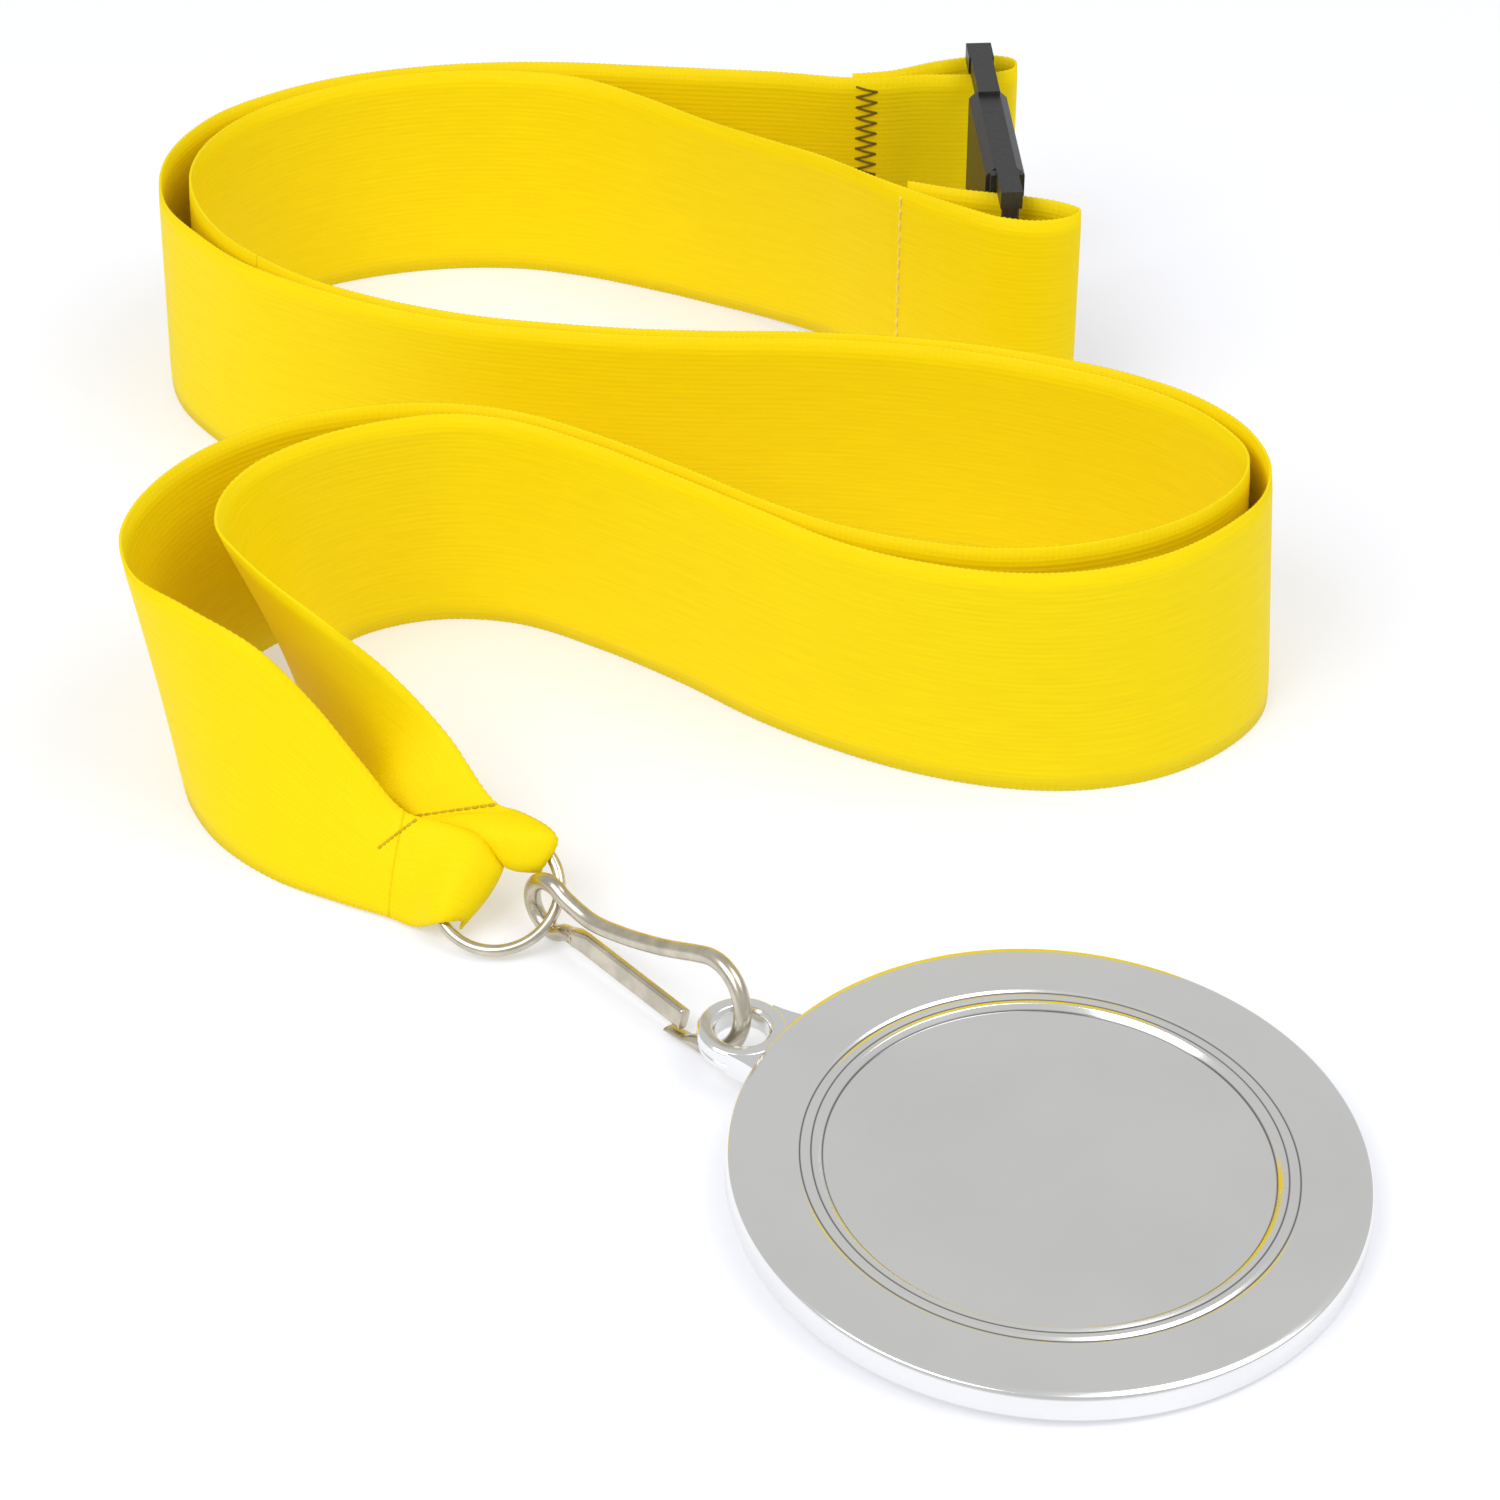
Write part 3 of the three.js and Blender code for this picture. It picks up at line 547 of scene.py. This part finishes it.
def wire(name, stops, squareness=1.0, sides=24, step=0.35):
    """Sweeps an oval section through stops; a squareness under 1 flattens its sides."""
    path = curve([stop[0] for stop in stops], lambda a, b: max(1, round((b - a).length / step)))
    rings = []
    for i, (mark, centre) in enumerate(path):
        before, after = path[max(i - 1, 0)][1], path[min(i + 1, len(path) - 1)][1]
        across = HOOK_NORMAL.cross((after - before).normalized()).normalized()
        k = min(int(mark), len(stops) - 2)
        size = stops[k][1].lerp(stops[k + 1][1], mark - k)
        section = []
        for j in range(sides):
            turn = 2 * math.pi * (j + 0.5) / sides
            wide, deep = (
                math.copysign(abs(c) ** squareness, c) for c in (math.cos(turn), math.sin(turn))
            )
            section.append(centre + across * (size.x * wide) + HOOK_NORMAL * (size.y * deep))
        rings.append(section)
    return loft(name, rings, NICKEL)


def hook_body():
    """Catch lip, nose, upper arm, eye and the root of the gate, as one bent wire."""
    radius = HOOK_NOSE_RADIUS
    stops = [
        hook_stop(NOSE_CENTRE - 4.2, -radius - 0.25, 0.28, 0.85),
        hook_stop(NOSE_CENTRE - 2.0, -radius - 0.25, 0.3, 0.85),
        hook_stop(NOSE_CENTRE - 1.2, -radius - 0.1, 0.6, 0.8),
        *arc(NOSE_CENTRE, radius, -92, 100, 16),
        hook_stop(NOSE_CENTRE - 2.2, radius - 0.45),
        hook_stop(0.69 * NOSE_CENTRE, 2.5),
        hook_stop(0.44 * NOSE_CENTRE, 1.35),
        hook_stop(KNEE, 0.95),
        *arc(0, HOOK_EYE_RADIUS, 50, 310, 16, EYE_UPWARD),
        hook_stop(GATE_ROOT - 0.1, -1.4),
    ]
    return wire("hook_wire", stops)


def hook_gate():
    """The springy, flattened arm: its end closes on the catch lip."""
    tip = -HOOK_NOSE_RADIUS + 0.3 + GATE_HALF_WIDTH
    size = (GATE_HALF_WIDTH, GATE_HALF_THICKNESS)
    stops = [
        hook_stop(GATE_ROOT - 0.8, -1.5, 0.72, 0.62),
        hook_stop(GATE_ROOT, -1.4, 0.84, 0.76),
        hook_stop(KNEE, -1.45, *size),
        hook_stop(KNEE + 0.4, -1.5, *size),
        hook_stop(NOSE_CENTRE - GATE_TIP_BACK, tip, *size),
    ]
    return wire("hook_gate_arm", stops, squareness=0.45)


# ---- Ribbon --------------------------------------------------------------------------------

def row(low, high=None, lift=0.0, height=RIBBON_WIDTH, crown=0.0):
    """A place on a route: each edge's (x, y), their heights, and how far the middle bulges.

    Without a high edge of its own, the ribbon stands straight up there.
    """
    high = high or low
    return (Vector((*low, lift + FLOOR_CLEARANCE)), Vector((*high, height)), crown)


def clasp_row(low, high=None):
    """A row at the height of the clasp's bars."""
    return row(low, high, CLASP_LIFT, CLASP_LIFT + RIBBON_WIDTH)


def ring_row(low, high, crown):
    """A row near the ring, each edge given as (degrees round it, radius, lift off its plane)."""
    edges = [ring_point(math.radians(angle), radius) + RING_NORMAL * lift
             for angle, radius, lift in (low, high)]
    return (*edges, crown)


PLUG_ROUTE = [
    ring_row((92, 3.6, -1.2), (36, 4.4, -0.9), 0.0),
    ring_row((90, 2.6, -0.1), (33, 4.6, 0.2), -0.4),
    ring_row((118, 4.8, 1.0), (47, 7.2, 0.9), -0.9),
    row((-22.9, -25.6), (-15.2, -25.2), 7.2, 8.6, -0.7),
    row((-25.6, -23.4), (-17.6, -24.6), 6.6, 9.2),
    row((-29.2, -20.2), (-22.6, -18.2), 7.2, 12.6),
    row((-32.2, -14.6), (-28.0, -15.8), 3.4, 18.0),
    row((-35.2, -8.2), (-33.6, -15.0), 0.4, 23.0),
    row((-36.8, -2.6), (-38.6, -11.6), 0, 25),
    row((-37.4, 1.8), (-42.4, -6.4)),
    row((-37.6, 5.6), (-44.8, -2.0)),
    row((-37.4, 9.2), (-44.8, 3.4)),
    row((-36.6, 12.2), (-42.2, 9.0)),
    row((-34.6, 15.0), (-36.6, 13.8)),
    row((-30.4, 17.4), (-30.0, 16.8)),
    row((-24.8, 18.6), (-23.6, 18.0)),
    row((-17.6, 17.6), (-17.2, 16.6)),
    row((-9.4, 13.2), (-9.2, 12.2)),
    row((-1.2, 7.4), (-1.0, 6.4)),
    row((6.8, 0.8), (6.8, 0.6)),
    row((14.6, -4.2), (14.4, -4.9)),
    row((22.2, -7.8), (22.0, -8.2)),
    row((30.0, -10.0), (30.0, -9.9)),
    row((37.6, -10.4), (37.4, -9.5)),
    row((45.4, -8.4), (45.0, -6.6)),
    row((51.8, -4.2), (50.6, -2.2)),
    row((56.2, 1.6), (54.8, 3.2)),
    row((57.4, 8.2), (56.0, 9.0)),
    row((55.8, 15.2), (54.4, 15.4)),
    row((51.0, 21.4), (50.0, 21.2)),
    row((44.2, 25.8), (43.6, 25.6)),
    row((36.4, 29.0), (36.2, 28.8)),
    row((28.6, 31.2)),
    row((20.6, 32.8)),
    row((11.0, 33.8), (11.0, 33.7)),
    row((1.0, 34.0), (1.0, 33.9)),
    row((-7.0, 34.5), (-7.0, 34.4)),
    row((-15.0, 35.6), (-15.0, 35.5)),
    row((-22.0, 37.0), (-22.0, 36.8)),
    row((-29.0, 39.3), (-29.0, 39.0)),
    row((-35.0, 41.9), (-35.0, 41.6)),
    row((-41.0, 45.3), (-40.8, 45.0)),
    row((-46.5, 49.6), (-46.0, 49.4)),
    row((-51.0, 54.8), (-50.4, 54.5)),
    row((-54.2, 60.8), (-53.6, 60.8)),
    row((-55.6, 67.4), (-55.0, 67.4)),
    row((-54.6, 74.0), (-54.0, 74.0)),
    row((-51.0, 80.2), (-50.6, 80.2)),
    row((-45.4, 85.0), (-45.2, 85.2)),
    row((-37.8, 88.4), (-37.6, 89.2)),
    row((-29.4, 90.2), (-29.4, 91.2)),
    row((-21.0, 90.2), (-21.0, 91.4)),
    row((-13.4, 88.4), (-13.4, 89.6)),
    row((-6.2, 85.6), (-6.2, 85.0)),
    row((0.8, 82.4), (0.6, 79.2), 0, 25.2),
    row((7.6, 78.2), (7.0, 74.2), 0.5, 25.6),
    row((14.0, 73.2), (13.4, 68.6), 1.2, 26.4),
    row((20.0, 66.4), (19.8, 62.0), 2.0, 27.1),
    clasp_row((24.0, 61.4), (24.0, 58.9)),
    clasp_row((28.0, 57.2), (28.0, 56.2)),
    clasp_row((32.1, 53.8)),
    clasp_row((36.2, 53.0)),
    clasp_row((39.4, 53.9)),
    clasp_row((40.6, 55.4)),
    clasp_row((38.6, 57.0)),
    clasp_row((34.4, 58.4)),
    clasp_row((28.1, 61.0), (28.1, 59.8)),
    clasp_row((22.8, 64.4), (22.6, 61.6)),
]

SOCKET_ROUTE = [
    ring_row((232, 4.9, -1.0), (92, 3.4, -0.9), 0.0),
    ring_row((232, 4.3, 0.0), (90, 2.4, 0.1), -0.5),
    ring_row((222, 6.0, 1.0), (116, 5.0, 1.3), -1.3),
    row((-25.4, -31.8), (-22.9, -26.3), 0.4, 8.5, -1.2),
    row((-27.6, -30.4), (-26.2, -24.9), 0.3, 8.6, -0.8),
    row((-32.5, -28.0), (-30.2, -22.6), 0.2, 12.6, -0.4),
    row((-38.8, -24.4), (-34.6, -20.4), 0, 17.8),
    row((-44.4, -19.2), (-39.6, -18.4), 0, 22.4),
    row((-47.6, -13.8), (-46.2, -15.2), 0, 24.8),
    row((-49.2, -8.6), (-51.6, -10.4)),
    row((-49.4, -3.2), (-53.6, -4.4)),
    row((-48.6, 2.6), (-53.2, 1.0)),
    row((-46.4, 8.6), (-50.8, 7.0)),
    row((-42.4, 14.2), (-46.8, 12.2)),
    row((-36.6, 18.2), (-40.6, 16.8)),
    row((-30.2, 20.4), (-32.6, 19.4)),
    row((-24.4, 20.8), (-24.6, 20.0)),
    row((-16.8, 19.2), (-16.8, 18.2)),
    row((-8.6, 14.6), (-8.4, 13.6)),
    row((-0.4, 8.8), (-0.2, 7.8)),
    row((7.4, 2.4), (7.4, 2.2)),
    row((14.6, -1.8), (14.4, -1.9)),
    row((22.0, -4.4), (21.8, -4.5)),
    row((29.2, -5.7), (29.2, -5.8)),
    row((36.8, -5.2), (36.8, -5.0)),
    row((44.4, -2.7), (44.4, -2.1)),
    row((50.4, 1.6), (49.6, 1.6)),
    row((54.0, 6.6), (53.2, 6.4)),
    row((54.8, 11.6), (54.0, 11.2)),
    row((52.6, 16.4), (51.8, 16.2)),
    row((48.4, 20.9), (47.8, 20.7)),
    row((42.4, 24.8), (42.0, 24.6)),
    row((35.6, 27.6), (35.6, 27.4)),
    row((28.4, 29.9), (28.4, 29.8)),
    row((20.6, 31.6), (20.6, 31.5)),
    row((11.0, 32.6), (11.0, 32.5)),
    row((1.0, 32.8), (1.0, 32.7)),
    row((-7.2, 33.3), (-7.2, 33.2)),
    row((-15.2, 34.4), (-15.2, 34.3)),
    row((-22.3, 35.8), (-22.3, 35.6)),
    row((-29.4, 38.1), (-29.4, 37.8)),
    row((-35.6, 40.8), (-35.6, 40.5)),
    row((-42.0, 44.0), (-41.8, 44.0)),
    row((-48.0, 48.2), (-47.8, 48.2)),
    row((-53.0, 53.4), (-52.6, 53.6)),
    row((-57.2, 60.0), (-56.8, 60.0)),
    row((-59.0, 67.4), (-58.2, 67.2)),
    row((-58.2, 74.4), (-57.2, 74.0)),
    row((-54.4, 81.0), (-53.6, 80.8)),
    row((-48.4, 85.6), (-48.2, 85.6)),
    row((-41.0, 89.0), (-41.0, 89.6)),
    row((-33.0, 91.2), (-33.0, 92.0)),
    row((-25.0, 92.2), (-25.0, 93.2)),
    row((-16.0, 92.3), (-16.0, 93.4)),
    row((-7.0, 91.6), (-7.0, 92.6)),
    row((1.0, 90.7), (1.0, 91.2), 0, 25.3),
    row((9.0, 89.5), (9.0, 89.0), 0.8, 26.0),
    row((16.0, 88.2), (16.0, 86.2), 1.7, 26.8),
    clasp_row((20.4, 87.2), (20.4, 85.5)),
    clasp_row((24.7, 87.0), (24.7, 86.2)),
    clasp_row((29.2, 86.4), (29.2, 86.3)),
    clasp_row((33.0, 86.8)),
    clasp_row((35.4, 88.0)),
    clasp_row((35.4, 90.0)),
    clasp_row((33.3, 90.9)),
    clasp_row((27.1, 90.0), (27.1, 89.6)),
    clasp_row((21.6, 88.8), (21.6, 87.2)),
    row((17.2, 88.6), (17.2, 86.6), 1.9, 27.0),
]

# How finely a route and a strip are cut, along and across, and how far the woven edge's ribs
# stand out.
SAMPLES = 40
STRIP_STEP = 0.3
ACROSS = 12
EDGE_RIB = 0.04

# Rows of the routes, the last ones counted from the end: where the lobes at the ring end, where
# the plug's tail starts, and where each hem starts.
FOLD_ROWS = 4
TAIL_ROW = -26
PLUG_HEM_ROW = -11
SOCKET_HEM_ROW = -10


class Strip:
    """A ribbon between two edge curves, sampled evenly along its route."""

    def __init__(self, rows):
        self.low = [p for _, p in curve([low for low, _, _ in rows], lambda a, b: SAMPLES)]
        self.high = [p for _, p in curve([high for _, high, _ in rows], lambda a, b: SAMPLES)]
        self.crowns = [crown for _, _, crown in rows]
        middle = [(a + b) / 2 for a, b in zip(self.low, self.high)]
        self.reach = [0.0]
        for a, b in zip(middle, middle[1:]):
            self.reach.append(self.reach[-1] + (b - a).length)

    @property
    def length(self):
        return self.reach[-1]

    def at_row(self, number):
        """How far along the route a row is; negative rows count from the end."""
        if number < 0:
            number += len(self.crowns)
        return self.reach[round(number * SAMPLES)]

    def sample(self, distance):
        """The lower edge, the upper edge and the crown at a distance along the route."""
        distance = min(max(distance, 0.0), self.length)
        i = min(max(bisect_left(self.reach, distance), 1), len(self.reach) - 1)
        t = (distance - self.reach[i - 1]) / (self.reach[i] - self.reach[i - 1])
        place = (i - 1 + t) / SAMPLES
        k = min(int(place), len(self.crowns) - 2)
        crown = self.crowns[k] + (self.crowns[k + 1] - self.crowns[k]) * (place - k)
        low = self.low[i - 1].lerp(self.low[i], t)
        high = self.high[i - 1].lerp(self.high[i], t)
        return low, high, crown

    def frame(self, distance, share):
        """A point of the strip's middle surface, and its outward side there."""
        low, high, crown = self.sample(distance)
        before = self.sample(distance - STRIP_STEP)
        after = self.sample(distance + STRIP_STEP)
        along = after[0].lerp(after[1], share) - before[0].lerp(before[1], share)
        outward = along.cross(high - low).normalized()
        bulge = 4 * share * (1 - share) * crown
        return low.lerp(high, share) + outward * bulge, outward


def ribbon(name, strip, start, end):
    """A closed, thin stretch of satin with a ribbed woven edge, between two distances."""
    steps = max(2, round((end - start) / STRIP_STEP))
    shares = [j / ACROSS for j in range(ACROSS + 1)]
    rings = []
    uvs = []
    for i in range(steps + 1):
        distance = start + (end - start) * i / steps
        low, high, _ = strip.sample(distance)
        rib = (high - low).normalized() * (EDGE_RIB if i % 2 else -EDGE_RIB)
        section = []
        for side in (1, -1):
            for share in shares[::side]:
                point, outward = strip.frame(distance, share)
                at_edge = share in (0.0, 1.0)
                half = RIBBON_THICKNESS * (0.3 if at_edge else 0.5)
                edge = rib * (2 * share - 1) if at_edge else Vector()
                section.append(point + outward * (side * half) + edge)
                uvs.append((distance, (share - 0.5) * RIBBON_WIDTH))
        rings.append(section)
    return loft(name, rings, SATIN, uvs)


# ---- Sewing --------------------------------------------------------------------------------

THREAD_RADIUS = 0.13
THREAD_SINK = 0.05
THREAD_SIDES = 8
STITCH_STEPS = 6

# Shares of the ribbon's width at which seams across it start and end.
SEAM_LOW = 0.04
SEAM_HIGH = 0.96


def between(start, end, t):
    """The (distance, share) a part t of the way from one to another."""
    return (start[0] + (end[0] - start[0]) * t, start[1] + (end[1] - start[1]) * t)


def stitch_rings(strip, start, end, side):
    """Sections of one stitch from (distance, share) to another, dipping in at both ends."""
    sections = []
    for i in range(STITCH_STEPS + 1):
        t = i / STITCH_STEPS
        point, outward = strip.frame(*between(start, end, t))
        ahead, _ = strip.frame(*between(start, end, t + 0.01))
        rise = RIBBON_THICKNESS / 2 + THREAD_RADIUS * math.sin(math.pi * t) - THREAD_SINK
        centre = point + outward * (side * rise)
        along = (ahead - point).normalized()
        across = outward.cross(along).normalized()
        turns = [2 * math.pi * k / THREAD_SIDES for k in range(THREAD_SIDES)]
        sections.append([
            centre + (across * math.cos(turn) + outward * math.sin(turn)) * THREAD_RADIUS
            for turn in turns
        ])
    return sections


def seam(name, strip, marks, side, material):
    """Stitches between marks, each a (distance, share) on the strip, as one mesh."""
    points = []
    faces = []
    for start, end in marks:
        first = len(points)
        for section in stitch_rings(strip, start, end, side):
            points += section
        for here in range(first, len(points) - THREAD_SIDES, THREAD_SIDES):
            there = here + THREAD_SIDES
            for k in range(THREAD_SIDES):
                n = (k + 1) % THREAD_SIDES
                faces.append((here + k, here + n, there + n, there + k))
        faces.append(tuple(first + k for k in range(THREAD_SIDES))[::-1])
        faces.append(tuple(len(points) - THREAD_SIDES + k for k in range(THREAD_SIDES)))
    obj = mesh_object(name, points, faces, material)
    face_outwards(obj)
    return obj


def straight_marks(start, end, count):
    """Running stitches with short gaps, from one (distance, share) to another."""
    marks = []
    for i in range(count):
        marks.append((between(start, end, (i + 0.1) / count),
                      between(start, end, (i + 0.9) / count)))
    return marks


def zigzag_marks(distance, width, count):
    """Zigzag stitches up the ribbon, width wide."""
    turns = []
    for i in range(count + 1):
        share = SEAM_LOW + (SEAM_HIGH - SEAM_LOW) * i / count
        turns.append((distance + (width if i % 2 else 0), share))
    return list(zip(turns, turns[1:]))


# ---- Clasp ---------------------------------------------------------------------------------

def dress_clasp():
    """The clasp halves keep the CAD part's shape and take the plastic."""
    for node in ("clasp_socket", "clasp_plug"):
        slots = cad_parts[node].data.materials
        if not slots:
            slots.append(PLASTIC)
        for i in range(len(slots)):
            slots[i] = PLASTIC


# ---- Floor, light and camera ---------------------------------------------------------------

WHITE = (1, 1, 1, 1)
FLOOR_SIDE = 2000
LIGHT_SIZE = 500


def floor():
    nodes = Nodes("pale_floor")
    nodes.set(Roughness=0.9, Specular_IOR_Level=0.1, Base_Color=(0.60, 0.61, 0.66, 1),
              Emission_Color=WHITE, Emission_Strength=0.36)
    corners = [(x * FLOOR_SIDE, y * FLOOR_SIDE, 0) for x, y in ((-1, -1), (1, -1), (1, 1), (-1, 1))]
    return mesh_object("floor", corners, [(0, 1, 2, 3)], nodes.material)


def surroundings():
    """An even white all round."""
    world = bpy.data.worlds.new("studio")
    world.use_nodes = True
    background = world.node_tree.nodes["Background"]
    background.inputs["Color"].default_value = WHITE
    background.inputs["Strength"].default_value = 0.62
    bpy.context.scene.world = world


def soft_light(name, place, watts):
    """A large square light that faces the middle of the floor."""
    data = bpy.data.lights.new(name, "AREA")
    data.shape = "SQUARE"
    data.size = LIGHT_SIZE * MM
    data.energy = watts
    light = bpy.data.objects.new(name, data)
    light.location = Vector(place) * MM
    light.rotation_euler = (-Vector(place)).to_track_quat("-Z", "Y").to_euler()
    bpy.context.scene.collection.objects.link(light)


def stage():
    floor()
    surroundings()
    soft_light("key", (-350, -350, 600), 2.8)
    soft_light("fill", (400, -100, 700), 1.8)
    bpy.context.scene.view_settings.view_transform = "Standard"


def camera():
    data = bpy.data.cameras.new("camera")
    data.lens = 96
    data.sensor_width = 36
    eye = bpy.data.objects.new("camera", data)
    eye.location = Vector((5.7, -318.1, 234.2)) * MM
    eye.rotation_euler = (math.radians(53.3), 0, 0)
    bpy.context.scene.collection.objects.link(eye)
    bpy.context.scene.camera = eye


# ---- Assembly ------------------------------------------------------------------------------

def nodes_of(beginning):
    """The CAD part's nodes whose names start so."""
    return [name for name in sorted(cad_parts) if name.startswith(beginning)]


def finished(obj, nodes, body=None):
    """Hides the CAD part's nodes that a piece stands in for, and hangs it on the body it rides on
    unless it is blended.
    """
    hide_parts(*nodes)
    if body:
        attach(obj, body)
    return obj


def dress_plug_run(strip):
    """The run that ends at the plug, in three pieces: its lobe at the ring, the run, and its tail
    at the plug.
    """
    lobe_end = strip.at_row(FOLD_ROWS)
    tail_start = strip.at_row(TAIL_ROW)
    tail_nodes = ["plug_run_far_bend_rear", "plug_run_back_pass", "plug_hem"]
    run_nodes = [name for name in nodes_of("plug_run") if name not in tail_nodes]
    lobe = finished(ribbon("ribbon_plug_fold", strip, 0, lobe_end), ["ribbon_fold"])
    run = finished(ribbon("ribbon_plug_run", strip, lobe_end, tail_start), run_nodes,
                   "ribbon")
    tail = finished(ribbon("ribbon_plug_tail", strip, tail_start, strip.length),
                    tail_nodes)
    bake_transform(lobe)
    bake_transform(tail)


def dress_socket_run(strip):
    """The run that ends at the socket, in two pieces: its lobe at the ring, and the rest."""
    lobe_end = strip.at_row(FOLD_ROWS)
    run_nodes = [*nodes_of("socket_run"), "socket_hem"]
    lobe = finished(ribbon("ribbon_socket_fold", strip, 0, lobe_end), ["ribbon_fold"])
    run = finished(ribbon("ribbon_socket_run", strip, lobe_end, strip.length),
                   run_nodes, "ribbon")
    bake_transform(lobe)


def sew_fold(plug, socket):
    """Two crossed seams that hold the lobes together."""
    front = straight_marks((socket.at_row(4.4), 0.55), (socket.at_row(3.6), 0.98), 9)
    finished(seam("fold_seam_front", socket, front, -1, SEAM_THREAD),
             ["fold_stitching"], "ribbon")
    crease = plug.at_row(FOLD_ROWS)
    rear = straight_marks((crease, SEAM_LOW), (crease, 0.98), 10)
    finished(seam("fold_seam_rear", plug, rear, -1, SEAM_THREAD),
             ["fold_stitching"], "ribbon")


def sew_hems(plug, socket):
    """One line of pale stitches at the plug's hem, and a dark zigzag at the socket's."""
    plug_line = plug.at_row(PLUG_HEM_ROW) + 3.0
    running = straight_marks((plug_line, SEAM_LOW), (plug_line, SEAM_HIGH), 14)
    finished(seam("plug_hem_seam", plug, running, 1, PALE_THREAD),
             ["plug_hem_stitching"], "plug_half")
    socket_line = socket.at_row(SOCKET_HEM_ROW) - 2.8
    zigzag = zigzag_marks(socket_line, 2.4, 34)
    finished(seam("socket_hem_seam", socket, zigzag, 1, HEM_THREAD),
             ["socket_hem_stitching"], "ribbon")


def build():
    """Makes every piece, then the floor, the lights and the camera."""
    for obj in (medal_disc(), medal_lug(), *medal_neck()):
        finished(obj, ["medal_body"], "medal")
    finished(ring(), ["ring"], "ring")
    finished(hook_body(), ["hook_body"], "hook")
    finished(hook_gate(), ["hook_gate"], "gate")
    plug = Strip(PLUG_ROUTE)
    socket = Strip(SOCKET_ROUTE)
    dress_plug_run(plug)
    dress_socket_run(socket)
    sew_fold(plug, socket)
    sew_hems(plug, socket)
    dress_clasp()
    stage()
    camera()


build()
